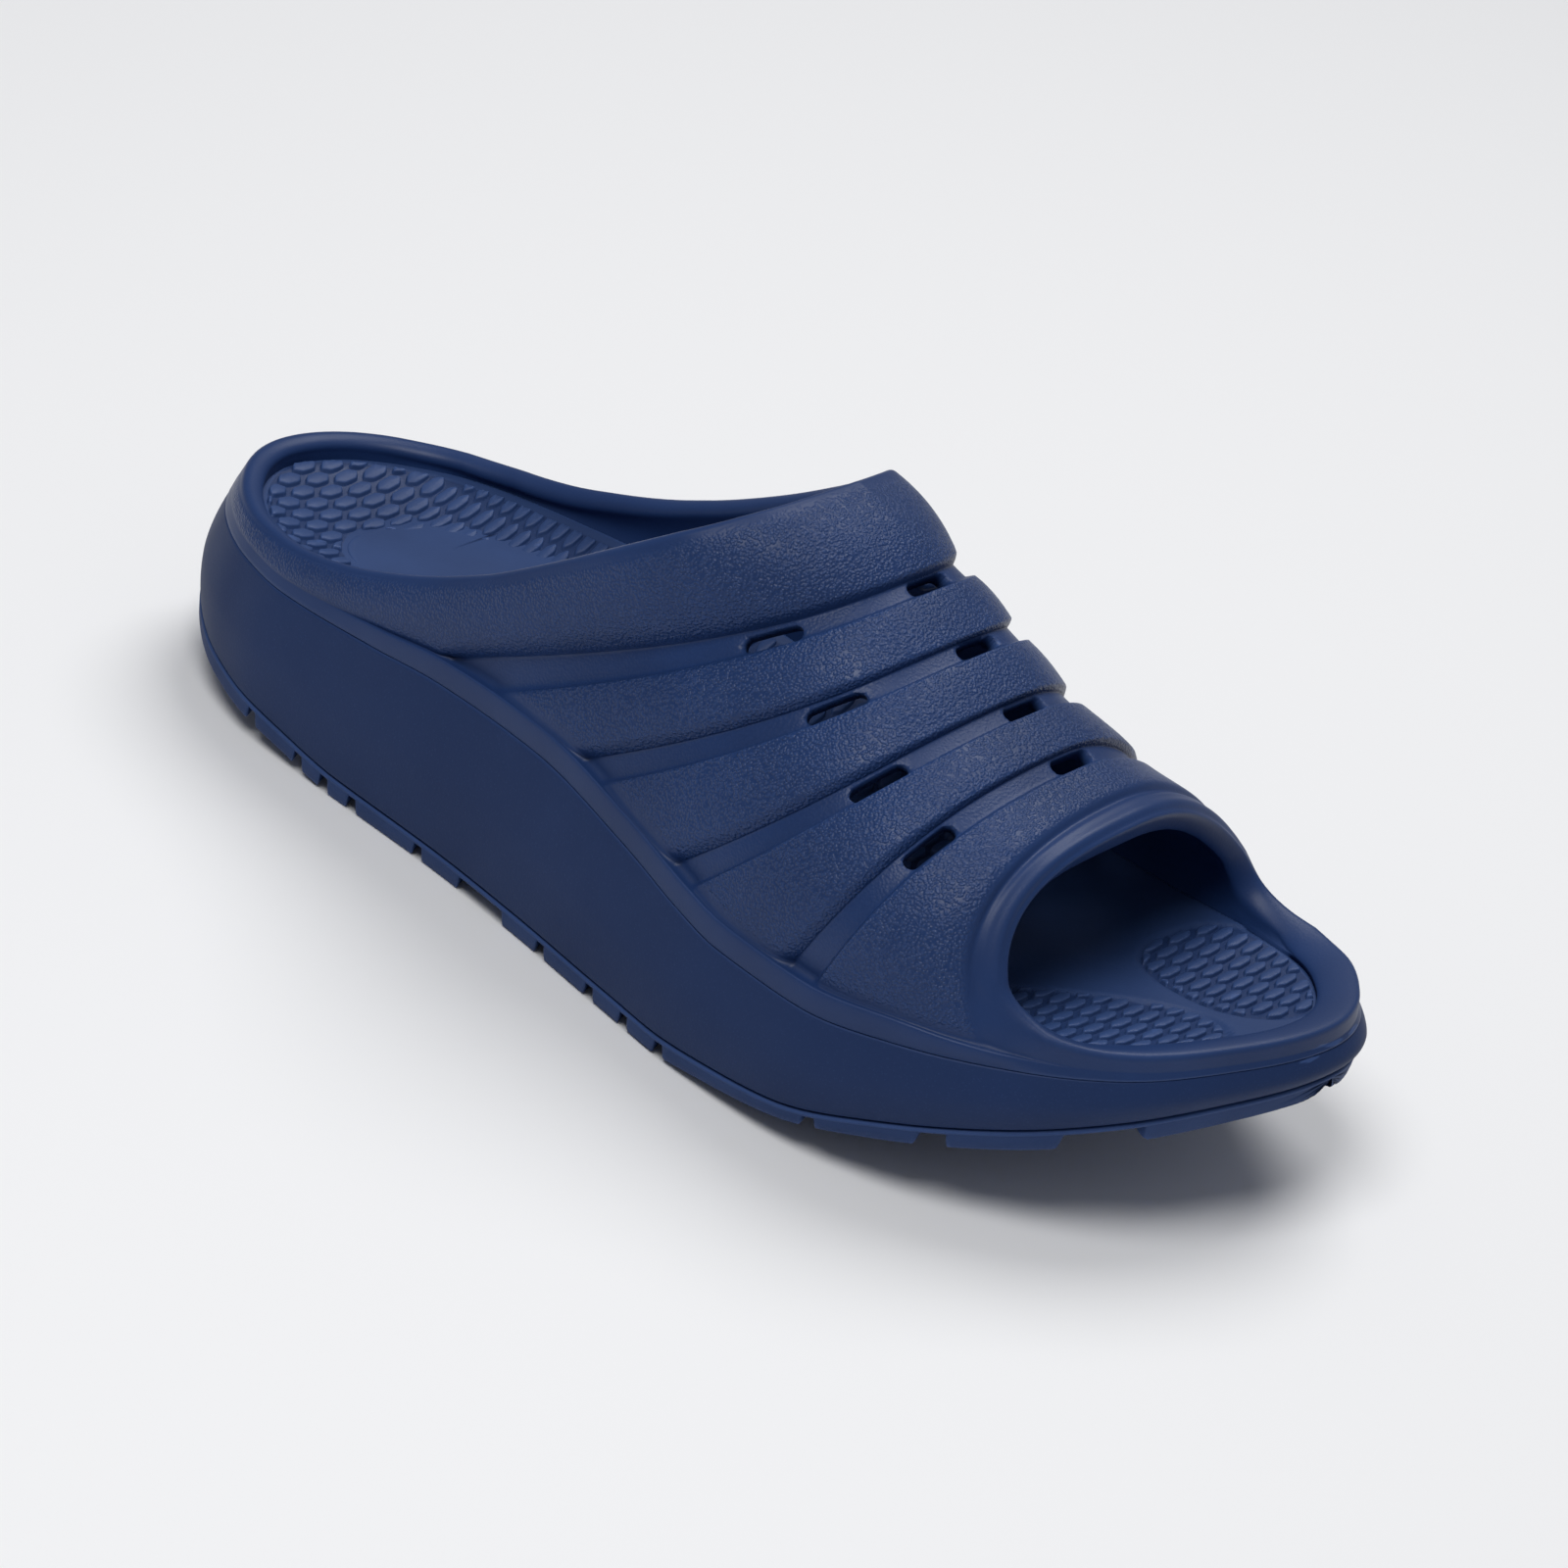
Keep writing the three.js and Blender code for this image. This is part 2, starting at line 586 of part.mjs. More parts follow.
const collarPatch = {
  range: [0, 1],
  middleAlong: [0, 1],
  middleUp: [],
  point: (share, side, t) => {
    const foot = collarFoot(share, side);
    const top = collarEdge(share, side);
    const low = Math.max(share - SMALL, 0);
    const high = Math.min(share + SMALL, 1);
    const tangent = collarFoot(high, side).sub(collarFoot(low, side));
    if (share === 0 || share === 1) tangent.set(0, Math.sign(tangent.y), 0);
    const outwards = tangent.cross(top.clone().sub(foot)).multiplyScalar(-side.sign).normalize();
    return swollen(foot, top, outwards, REAR_BULGE * smooth(share / COLLAR_TURN), t);
  },
};

const toePatch = {
  range: [LAST_LINE, 1],
  middleAlong: [1],
  middleUp: [],
  point: (base, side, t) => {
    const over = outline(side, toe.along(base), TOE_RIM_INSET);
    const top = new THREE.Vector3(over.x, over.y, toe[side.name](base) * INSTEP_HEIGHT);
    return vector(wallFoot(base, side)).lerp(top, t);
  },
};

// The outward normal of a patch.
function normalOf(patch, along, side, up) {
  const [start, end] = patch.range;
  const ahead = patch.point(Math.min(along + SMALL, end), side, up);
  const tangent = ahead.sub(patch.point(Math.max(along - SMALL, start), side, up));
  const higher = patch.point(along, side, Math.min(up + SMALL, 1));
  const rising = higher.sub(patch.point(along, side, Math.max(up - SMALL, 0)));
  if (patch.middleAlong.includes(along)) tangent.set(0, Math.sign(tangent.y), 0);
  if (patch.middleUp.includes(up)) rising.set(0, Math.sign(rising.y), 0);
  return tangent.cross(rising).multiplyScalar(-side.sign).normalize();
}

// A point of the inner face: the wall's thickness inside the outer one, shifted so that it starts
// at a given foot. The shift fades over a share of the way up.
function innerPoint(patch, along, side, up, foot, thickness, fade) {
  const offset = (t) =>
    patch.point(along, side, t).addScaledVector(normalOf(patch, along, side, t), -thickness(t));
  const shift = foot.clone().sub(offset(0));
  return offset(up).addScaledVector(shift, 1 - clamp01(up / fade));
}

const bandWall = (t) => mix(RIM_WALL, ARCH_WALL, smooth(t / FOOT_BLEND));
const bandInner = (base, side, t) =>
  innerPoint(bandPatch, base, side, t, vector(seatEdge(base, side)), bandWall, FOOT_BLEND);

const collarInner = (share, side, t) => {
  const foot =
    share <= COLLAR_TURN
      ? vector(seatEdge((share / COLLAR_TURN) * FIRST_LINE, side))
      : bandInner(FIRST_LINE, side, (share - COLLAR_TURN) / (1 - COLLAR_TURN));
  const thickness = mix(RIM_WALL, ARCH_WALL, smooth((share - COLLAR_TURN) / (1 - COLLAR_TURN)));
  return innerPoint(collarPatch, share, side, t, foot, () => thickness, 1);
};

// The toe's inner face is low, so that the rim slopes gently in to the footbed.
const toeInner = (base, side, t) => {
  const over = outline(side, toe.along(base), TOE_RIM_INSET + TOE_RIM_WIDTH);
  const foot = vector(seatEdge(base, side));
  const share = mix(1, TOE_RIM_SLOPE, smooth((base - LAST_LINE) / (LEDGE_FADES.to - LAST_LINE)));
  const end = new THREE.Vector3(over.x, over.y, mix(foot.z, toePatch.point(base, side, 1).z, share));
  return foot.lerp(end, t);
};

// How far a band stands out at a base share, 0 at its edges.
function bandRise(base) {
  const edges = [...TROUGHS.flatMap(({ rear, front }) => [rear, front]), LAST_LINE].slice(1);
  for (let i = 0; i < edges.length; i += 2) {
    const share = (base - edges[i]) / (edges[i + 1] - edges[i]);
    if (share > 0 && share < 1) return BAND_BULGE * 4 * share * (1 - share);
  }
  return 0;
}

// How deep the bands' troughs are at a base share: 0 on a band, 1 on a trough's floor.
function troughShare(base) {
  for (const { rear, front } of TROUGHS) {
    const shoulder = (front - rear) * TROUGH_SHOULDER;
    if (base > rear && base < front) return smooth(Math.min(base - rear, front - base) / shoulder);
  }
  return 0;
}

function bandOuter(base, side, t) {
  const raised = t > 0 ? bandRise(base) * smooth(t / FOOT_BLEND) - troughShare(base) * TROUGH_DEPTH : 0;
  const point = bandPatch.point(base, side, t);
  if (raised === 0) return point;
  return point.addScaledVector(normalOf(bandPatch, base, side, t), raised);
}

// Shares up a line: over a band, under the collar, and round the toe.
const BAND_STEPS = [0, 0.04, 0.09, 0.17, 0.28, 0.4, 0.53, 0.66, 0.78, 0.88, 0.95, 1];
const COLLAR_STEPS = [0, 0.25, 0.5, 0.75, 1];
const TOE_STEPS = [0, 0.5, 1];
const TOE_JOIN = TOE_STEPS.length - 1; // index in BAND_STEPS where the toe's rim meets the opening

// A rim's rounded edge, from the outer to the inner face, as shares of its thickness and RIM_ROUND.
const RIM_PROFILE = [
  { across: 0.2, rise: 0.7 },
  { across: 0.5, rise: 1 },
  { across: 0.8, rise: 0.7 },
];

// A row of points over a rim, from its outer to its inner edge. "edge" runs along the rim.
function rimRow(outer, inner, edge, away) {
  const out = edge.clone().cross(inner.clone().sub(outer)).normalize();
  if (out.dot(away) < 0) out.negate();
  const round = RIM_PROFILE.map(({ across: share, rise }) =>
    outer.clone().lerp(inner, share).addScaledVector(out, RIM_ROUND * rise),
  );
  return [outer, ...round, inner];
}

// The rim of a patch's upper edge.
function topRim(patch, inner, along, side) {
  const [start, end] = patch.range;
  const outer = patch.point(along, side, 1);
  const ahead = patch.point(Math.min(along + SMALL, end), side, 1);
  const edge = ahead.sub(patch.point(Math.max(along - SMALL, start), side, 1));
  if (patch.middleAlong.includes(along)) edge.set(0, Math.sign(edge.y), 0);
  const away = outer.clone().sub(patch.point(along, side, 1 - SMALL));
  return rimRow(outer, inner(along, side, 1), edge, away);
}

// The rim of the toe opening, along the last line of the bands.
function openingRim(side, t) {
  const outer = bandPatch.point(LAST_LINE, side, t);
  const edge = bandPatch.point(LAST_LINE, side, Math.min(t + SMALL, 1));
  edge.sub(bandPatch.point(LAST_LINE, side, t - SMALL));
  if (t === 1) edge.set(0, 1, 0);
  const away = outer.clone().sub(bandPatch.point(LAST_LINE - SMALL, side, t));
  return rimRow(outer, bandInner(LAST_LINE, side, t), edge, away);
}

function slotCutter(base, side, t) {
  const centre = bandPatch.point(base, side, t);
  const normal = normalOf(bandPatch, base, side, t);
  const along = bandPatch.point(base, side, Math.min(t + SMALL, 1));
  along.sub(bandPatch.point(base, side, t - SMALL));
  if (t === 1) along.set(0, 1, 0);
  along.addScaledVector(normal, -along.dot(normal)).normalize();
  const beside = new THREE.Vector3().crossVectors(normal, along);
  const shape = new THREE.Shape();
  const radius = SLOT_WIDTH / 2;
  const straight = SLOT_LENGTH / 2 - radius;
  shape.absarc(straight, 0, radius, -Math.PI / 2, Math.PI / 2, false);
  shape.absarc(-straight, 0, radius, Math.PI / 2, (3 * Math.PI) / 2, false);
  shape.closePath();
  const depth = 4 * RIM_WALL;
  const options = { depth, bevelEnabled: false, curveSegments: SLOT_SEGMENTS };
  const geometry = new THREE.ExtrudeGeometry(shape, options);
  geometry.translate(0, 0, -depth / 2);
  geometry.applyMatrix4(new THREE.Matrix4().makeBasis(along, beside, normal).setPosition(centre));
  return solidFrom(geometry);
}

// Base shares of the lines over the bands: each trough's edges and shoulders and each band's middle.
function bandBases() {
  const list = [LAST_LINE];
  for (const [k, { rear, front }] of TROUGHS.entries()) {
    const shoulder = (front - rear) * TROUGH_SHOULDER;
    list.push(rear, rear + shoulder, front - shoulder, front);
    const next = k + 1 < TROUGHS.length ? TROUGHS[k + 1].rear : LAST_LINE;
    const steps = next === LAST_LINE ? 4 : 2;
    for (let i = 1; i < steps; i += 1) list.push(mix(front, next, i / steps));
  }
  return list.sort((a, b) => a - b);
}

function upper() {
  const surface = new Surface();
  const ends = stations(2 * END_STEPS);
  const rearBases = [...ends.filter((at) => at < FIRST_LINE - END_MARGIN), FIRST_LINE];
  const toeBases = ends.filter((at) => at > LAST_LINE + END_MARGIN);
  const bands = bandBases();
  const allBases = [...rearBases, ...bands.slice(1), ...toeBases];
  const collarShares = [
    ...rearBases.map((base) => (base / FIRST_LINE) * COLLAR_TURN),
    ...BAND_STEPS.slice(1).map((t) => mix(COLLAR_TURN, 1, t)),
  ];
  for (const side of SIDES) {
    const outwards = side.sign < 0;
    const patch = (along, ups, outer, inner) => {
      surface.grid(along.map((a) => ups.map((t) => outer(a, side, t))), outwards);
      surface.grid(along.map((a) => ups.map((t) => inner(a, side, t))), !outwards);
    };
    patch(collarShares, COLLAR_STEPS, collarPatch.point, collarInner);
    patch(bands, BAND_STEPS, bandOuter, bandInner);
    const join = BAND_STEPS.slice(0, TOE_JOIN + 1);
    const toeRows = (point, joined) => [
      join.map((t) => joined(LAST_LINE, side, t)),
      ...toeBases.map((base) => TOE_STEPS.map((t) => point(base, side, t))),
    ];
    surface.grid(toeRows(toePatch.point, bandOuter), outwards);
    surface.grid(toeRows(toeInner, bandInner), !outwards);

    surface.grid(collarShares.map((share) => topRim(collarPatch, collarInner, share, side)), outwards);
    const opening = BAND_STEPS.slice(TOE_JOIN).reverse();
    surface.grid(
      [
        ...opening.map((t) => openingRim(side, t)),
        ...toeBases.map((base) => topRim(toePatch, toeInner, base, side)),
      ],
      outwards,
    );

    const skirt = allBases.map((base) => {
      const inset = partingInset(base);
      const sill = { ...outline(side, base, inset), z: partingHeight(base) + GAP };
      const ledge = { ...outline(side, base, inset + RAND_INSET), z: ledgeHeight(base) - LEDGE_ROUND };
      const belly = { ...outline(side, base, inset - RAND_SWELL), z: mix(sill.z, ledge.z, 0.5) };
      const seat = seatEdge(base, side);
      return [{ ...seat, z: sill.z }, sill, belly, ledge, wallFoot(base, side)];
    });
    surface.grid(skirt, outwards);
    surface.grid(
      skirt.map(([sole], i) => [sole, seatEdge(allBases[i], side)]),
      !outwards,
    );
  }
  let solid = surface.solid();
  for (const { rear, front, slot } of TROUGHS) {
    const middle = mix(rear, front, 0.5);
    solid = solid.subtract(slotCutter(middle, SIDES[0], 1));
    for (const side of SIDES) solid = solid.subtract(slotCutter(middle, side, slot));
  }
  return solid;
}

const shoe = new THREE.Group();
shoe.add(meshFrom(outsole(), "outsole", FOAM));
shoe.add(meshFrom(midsole(), "midsole", FOAM));
shoe.add(meshFrom(footbed(), "footbed", FOAM));
shoe.add(meshFrom(upper(), "upper", FOAM));

const box = new THREE.Box3().setFromObject(shoe);
shoe.position.set(-(box.min.x + box.max.x) / 2, -(box.min.y + box.max.y) / 2, -box.min.z);

export default shoe;
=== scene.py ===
"""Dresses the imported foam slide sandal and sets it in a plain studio.

Shapes are worked out in millimetres from the back of the heel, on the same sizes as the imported
model, and turned into metres in the model's own frame when a mesh is made.
"""

import logging
import math
from dataclasses import dataclass
from enum import Enum
from typing import Callable, ClassVar

import bmesh
import bpy
import numpy as np
from mathutils import Matrix, Vector
from mathutils.kdtree import KDTree


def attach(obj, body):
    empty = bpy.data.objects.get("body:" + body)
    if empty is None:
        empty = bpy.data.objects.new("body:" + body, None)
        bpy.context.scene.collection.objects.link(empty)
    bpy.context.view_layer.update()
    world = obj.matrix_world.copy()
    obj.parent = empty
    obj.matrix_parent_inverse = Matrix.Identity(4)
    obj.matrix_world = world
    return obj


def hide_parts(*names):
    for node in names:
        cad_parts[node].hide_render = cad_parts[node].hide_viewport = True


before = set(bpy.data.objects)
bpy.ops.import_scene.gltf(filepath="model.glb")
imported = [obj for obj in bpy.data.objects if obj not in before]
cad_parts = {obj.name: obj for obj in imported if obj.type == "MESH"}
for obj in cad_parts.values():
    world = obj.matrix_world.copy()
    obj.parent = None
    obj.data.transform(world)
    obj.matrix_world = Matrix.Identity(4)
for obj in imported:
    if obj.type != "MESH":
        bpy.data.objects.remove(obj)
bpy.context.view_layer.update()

log = logging.getLogger("slide")
BODY = "root"
MILLIMETRE = 0.001
# Share of a patch over which its directions are measured.
STEP = 1e-3

Array = np.ndarray


def mix(a: Array | float, b: Array | float, share: Array | float) -> Array | float:
    """Return the value a share of the way from a to b."""
    return a + (b - a) * share


def clamp01(value: Array | float) -> Array:
    """Return the value held between 0 and 1."""
    return np.clip(value, 0.0, 1.0)


def smooth(value: Array | float) -> Array:
    """Return an eased step that is 0 below 0 and 1 above 1."""
    held = clamp01(value)
    return held * held * (3 - 2 * held)


def point(x: Array | float, y: Array | float, z: Array | float) -> Array:
    """Return points whose last axis holds x, y and z."""
    return np.stack(np.broadcast_arrays(x, y, z), axis=-1).astype(float)


def unit(vectors: Array) -> Array:
    """Return the vectors scaled to length 1."""
    return vectors / np.maximum(np.linalg.norm(vectors, axis=-1, keepdims=True), 1e-12)


def paired(a: Array | float, b: Array | float) -> tuple[Array, Array]:
    """Return two sets of numbers in the shape that they share."""
    return np.broadcast_arrays(np.asarray(a, float), np.asarray(b, float))


def column(values: Array | float) -> Array:
    """Return the values with one more axis at the end, to scale points by."""
    return np.asarray(values, float)[..., None]


class Side(Enum):
    """The two sides of the foot, valued by the sign of y."""

    LATERAL = -1
    MEDIAL = 1

    @property
    def key(self) -> str:
        """Return the side's column name in the tables."""
        return self.name.lower()


class Curve:
    """A smooth curve through given values that never overshoots them."""

    def __init__(self, x: Array, y: Array) -> None:
        """Work out a slope at each station.

        Args:
            x: Stations, rising.
            y: The value at each station.
        """
        self.x, self.y = np.asarray(x, float), np.asarray(y, float)
        step = np.diff(self.x)
        chord = np.diff(self.y) / step
        slope = np.zeros(len(self.x))
        slope[0], slope[-1] = chord[0], chord[-1]
        for i in range(1, len(chord)):
            before, after = chord[i - 1], chord[i]
            if before * after > 0:
                rear, front = step[i - 1], step[i]
                slope[i] = (
                    3 * (rear + front)
                    / ((2 * front + rear) / before + (front + 2 * rear) / after)
                )
        self.slope = slope

    def __call__(self, at: Array | float) -> Array:
        """Return the curve's value at one or more stations.

        Args:
            at: Stations; those outside the curve take its end values.

        Returns:
            The values, in the stations' shape.
        """
        held = np.clip(at, self.x[0], self.x[-1])
        i = np.clip(np.searchsorted(self.x, held, side="right") - 1, 0, len(self.x) - 2)
        span = self.x[i + 1] - self.x[i]
        s = (held - self.x[i]) / span
        rise = 3 * s**2 - 2 * s**3
        return (
            mix(self.y[i], self.y[i + 1], rise)
            + span * self.slope[i] * (s**3 - 2 * s**2 + s)
            + span * self.slope[i + 1] * (s**3 - s**2)
        )


def curves(names: str, rows: tuple[tuple[float, ...], ...]) -> dict[str, Curve]:
    """Return a curve for each column after the first, by the column's name.

    Args:
        names: The names of the columns, the stations' first.
        rows: The table's rows.

    Returns:
        The curves by name.
    """
    table = np.array(rows, float)
    return {
        name: Curve(table[:, 0], table[:, i + 1])
        for i, name in enumerate(names.split()[1:])
    }


@dataclass(frozen=True)
class Last:
    """The sizes that the whole shoe is built on, in millimetres, from the back of the heel."""

    length: float = 290.0
    ball_width: float = 117.0
    sole_height: float = 40.0
    instep_height: float = 109.3
    gap: float = 0.3
    parting_inset: float = 2.4
    mean_half_width: float = 0.43
    plan_middle: float = 0.45
    plan_blend: float = 0.2
    heel_plan_end: float = 0.8
    toe_plan_start: float = 0.25
    bed_power: float = 2.4

    # Half widths, as shares of the ball's width.
    PLAN: ClassVar = (
        (0.0, 0.0, 0.0),
        (0.02, 0.157, 0.165),
        (0.05, 0.242, 0.25),
        (0.1, 0.318, 0.324),
        (0.15, 0.353, 0.35),
        (0.25, 0.368, 0.357),
        (0.35, 0.385, 0.35),
        (0.45, 0.419, 0.359),
        (0.55, 0.464, 0.389),
        (0.65, 0.504, 0.44),
        (0.72, 0.513, 0.474),
        (0.8, 0.482, 0.474),
        (0.88, 0.385, 0.453),
        (0.94, 0.248, 0.41),
        (0.98, 0.051, 0.316),
        (1.0, -0.162, 0.162),
    )
    # Heights of the sole's lines, as shares of its height, and the parting line's inset.
    SOLE: ClassVar = (
        (0.0, 0.34, 0.47, 0.92, 0.985, 1.1),
        (0.07, 0.2, 0.34, 0.92, 0.985, 1.2),
        (0.12, 0.135, 0.27, 0.915, 0.985, 1.25),
        (0.18, 0.07, 0.2, 0.925, 1.01, 1.15),
        (0.25, 0.0, 0.135, 0.955, 1.07, 1.2),
        (0.32, 0.0, 0.13, 0.995, 1.135, 1.4),
        (0.42, 0.0, 0.13, 1.005, 1.155, 1.5),
        (0.53, 0.0, 0.13, 0.915, 1.065, 1.3),
        (0.6, 0.0, 0.13, 0.825, 0.975, 1.0),
        (0.65, 0.04, 0.158, 0.775, 0.925, 0.9),
        (0.73, 0.125, 0.23, 0.77, 0.915, 0.8),
        (0.82, 0.31, 0.427, 0.845, 0.965, 0.8),
        (0.885, 0.445, 0.57, 0.895, 0.965, 0.8),
        (0.95, 0.61, 0.735, 0.95, 0.99, 0.8),
        (1.0, 0.74, 0.85, 1.0, 1.03, 0.8),
    )
    # Heights of the footbed's face along its middle and its edges.
    BED: ClassVar = (
        (0.0, 1.01, 1.01, 1.01),
        (0.05, 0.945, 1.02, 1.03),
        (0.12, 0.9, 1.04, 1.075),
        (0.2, 0.89, 1.07, 1.13),
        (0.3, 0.91, 1.1, 1.19),
        (0.4, 0.935, 1.08, 1.2),
        (0.5, 0.9, 1.01, 1.13),
        (0.6, 0.83, 0.93, 1.01),
        (0.7, 0.79, 0.87, 0.91),
        (0.8, 0.82, 0.89, 0.91),
        (0.9, 0.92, 0.965, 0.975),
        (1.0, 1.06, 1.06, 1.06),
    )

    def __post_init__(self) -> None:
        """Make the curves through the tables."""
        heel = [(math.sqrt(r[0]), *r[1:]) for r in self.PLAN if r[0] <= self.heel_plan_end]
        toe = [(-math.sqrt(1 - r[0]), *r[1:]) for r in self.PLAN if r[0] >= self.toe_plan_start]
        curve_sets = {
            "heel_plan": curves("root lateral medial", tuple(heel)),
            "toe_plan": curves("root lateral medial", tuple(toe)),
            "sole": curves("at ground seam parting ledge tuck", self.SOLE),
            "bed": curves("at middle lateral medial", self.BED),
        }
        for name, made in curve_sets.items():
            object.__setattr__(self, name, made)

    def half_width(self, side: Side, at: Array | float) -> Array:
        """Return the outline's distance from the middle line on one side.

        Args:
            side: The side of the foot.
            at: Stations from 0 at the heel to 1 at the toe.

        Returns:
            The distances.
        """
        blend = smooth((at - self.plan_middle) / self.plan_blend + 0.5)
        from_heel = self.heel_plan[side.key](np.sqrt(np.clip(at, 0, self.heel_plan_end)))
        from_toe = self.toe_plan[side.key](-np.sqrt(np.clip(1 - np.asarray(at), 0, 1)))
        return mix(from_heel, from_toe, blend) * self.ball_width

    def outline(self, side: Side, at: Array, inset: Array | float, z: Array | float) -> Array:
        """Return points on the outline drawn in by a distance.

        Args:
            side: The side of the foot.
            at: Stations from 0 at the heel to 1 at the toe.
            inset: How far in from the outline.
            z: Height of the points.

        Returns:
            Points in the shape of the stations.
        """
        x = self.length / 2 + (np.asarray(at) - 0.5) * (self.length - 2 * inset)
        return point(x, side.value * self.half_width(side, at) * self.shrink(inset), z)

    def shrink(self, inset: Array | float) -> Array | float:
        """Return the share of the half widths that is left when the outline is drawn in."""
        return 1 - inset / (self.mean_half_width * self.ball_width)

    def edges(self, x: Array, inset: float) -> tuple[Array, Array, Array]:
        """Find the drawn-in outline beside points along the shoe.

        Args:
            x: Distances from the back of the heel.
            inset: How far in from the outline the edges lie.

        Returns:
            The stations, and y of the lateral and of the medial edge.
        """
        at = clamp01(0.5 + (x - self.length / 2) / (self.length - 2 * inset))
        shrink = self.shrink(inset)
        lateral = -self.half_width(Side.LATERAL, at) * shrink
        return at, lateral, self.half_width(Side.MEDIAL, at) * shrink

    def height(self, line: str, at: Array | float) -> Array:
        """Return the height of one of the sole's lines."""
        return self.sole[line](at) * self.sole_height

    def tuck(self, at: Array | float) -> Array:
        """Return the parting line's inset."""
        return self.sole["tuck"](at) * self.parting_inset

    def bed_edge(self, at: Array | float, side: Side) -> Array:
        """Return the height of the footbed's edge."""
        return self.bed[side.key](at) * self.sole_height

    def bed_face(self, at: Array | float, across: Array | float) -> Array:
        """Return the height of the footbed's face.

        Args:
            at: Stations along the shoe.
            across: From 0 at the lateral edge to 1 at the medial one.

        Returns:
            The heights.
        """
        middle = self.bed["middle"](at) * self.sole_height
        lateral, medial = (self.bed_edge(at, side) for side in Side)
        edge = np.where(np.asarray(across) < 0.5, lateral, medial)
        return middle + (edge - middle) * np.abs(2 * np.asarray(across) - 1) ** self.bed_power

    @property
    def shift(self) -> Array:
        """Return the move from the heel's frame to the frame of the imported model."""
        at = np.linspace(0, 1, 400)
        lateral, medial = (self.half_width(side, at).max() for side in Side)
        return np.array([-self.length / 2, (lateral - medial) / 2, 0.0])


class Shell:
    """Collects grids of points into one surface."""

    def __init__(self, last: Last) -> None:
        """Start an empty surface in the frame of a last."""
        self.last = last
        self.points: list[Array] = []
        self.faces: list[Array] = []
        self.grain: list[Array] = []
        self.count = 0

    def grid(self, points: Array, flip: bool = False, grain: Array | float = 0.0) -> None:
        """Add a grid of points as quads.

        Args:
            points: Points in rows; faces look along (next point) x (next row).
            flip: Turns the faces over.
            grain: How strongly the leather grain and the painted shade and highlight tied to it
                show, from 0 to 1, at each point.
        """
        rows, columns = points.shape[:2]
        index = np.arange(rows * columns).reshape(rows, columns) + self.count
        quads = np.stack([index[:-1, :-1], index[:-1, 1:], index[1:, 1:], index[1:, :-1]], -1)
        quads = quads.reshape(-1, 4)
        self.faces.append(quads[:, ::-1] if flip else quads)
        self.points.append(points.reshape(-1, 3))
        self.grain.append(np.broadcast_to(grain, points.shape[:2]).reshape(-1))
        self.count += rows * columns

    def mesh(self, name: str, weld: float = 0.02) -> bpy.types.Mesh:
        """Make a welded, smooth mesh in metres.

        Args:
            name: The mesh's name.
            weld: Points closer than this, in millimetres, become one.

        Returns:
            The mesh, with the point attribute "grain".
        """
        points = (np.concatenate(self.points) + self.last.shift) * MILLIMETRE
        mesh = bpy.data.meshes.new(name)
        mesh.from_pydata(points.tolist(), [], np.concatenate(self.faces).tolist())
        attribute = mesh.attributes.new("grain", "FLOAT", "POINT")
        attribute.data.foreach_set("value", np.concatenate(self.grain).astype(np.float32))
        made = bmesh.new()
        made.from_mesh(mesh)
        bmesh.ops.remove_doubles(made, verts=made.verts, dist=weld * MILLIMETRE)
        bmesh.ops.dissolve_degenerate(made, edges=made.edges, dist=1e-7)
        bmesh.ops.recalc_face_normals(made, faces=made.faces)
        made.to_mesh(mesh)
        made.free()
        mesh.shade_smooth()
        return mesh


def new_object(name: str, data: bpy.types.ID) -> bpy.types.Object:
    """Return a new object of the scene that shows a mesh.

    Args:
        name: The object's name.
        data: The mesh, camera or light that it holds.

    Returns:
        The object.
    """
    made = bpy.data.objects.new(name, data)
    bpy.context.scene.collection.objects.link(made)
    return made


def stand_for(piece: bpy.types.Object, node: str) -> None:
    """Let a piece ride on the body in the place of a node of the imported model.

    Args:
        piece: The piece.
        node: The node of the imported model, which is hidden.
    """
    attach(piece, BODY)
    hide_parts(node)


def applied(piece: bpy.types.Object) -> None:
    """Turn a piece's modifiers into its mesh.

    Args:
        piece: The piece.
    """
    depsgraph = bpy.context.evaluated_depsgraph_get()
    made = bpy.data.meshes.new_from_object(piece.evaluated_get(depsgraph))
    piece.modifiers.clear()
    piece.data = made


def triangles(mesh: bpy.types.Mesh) -> int:
    """Return how many triangles a mesh comes to."""
    return sum(len(face.vertices) - 2 for face in mesh.polygons)


def eased(count: int, ends: float = 1.0) -> Array:
    """Return shares from 0 to 1, crowded towards both ends by a power above 1."""
    half = np.linspace(-1, 1, count + 1)
    return (np.sign(half) * (1 - (1 - np.abs(half)) ** ends) + 1) / 2


def round_stations(count: int) -> Array:
    """Return shares from 0 to 1 crowded towards both ends as a circle's are."""
    return (1 - np.cos(np.pi * np.linspace(0, 1, count + 1))) / 2


class Patch(Enum):
    """The patches of the upper's face, valued by the shares at which each starts and ends."""

    COLLAR = (0.0, 1.0)
    BANDS = (0.317, 0.88)
    TOE = (0.88, 1.0 + 1e-9)


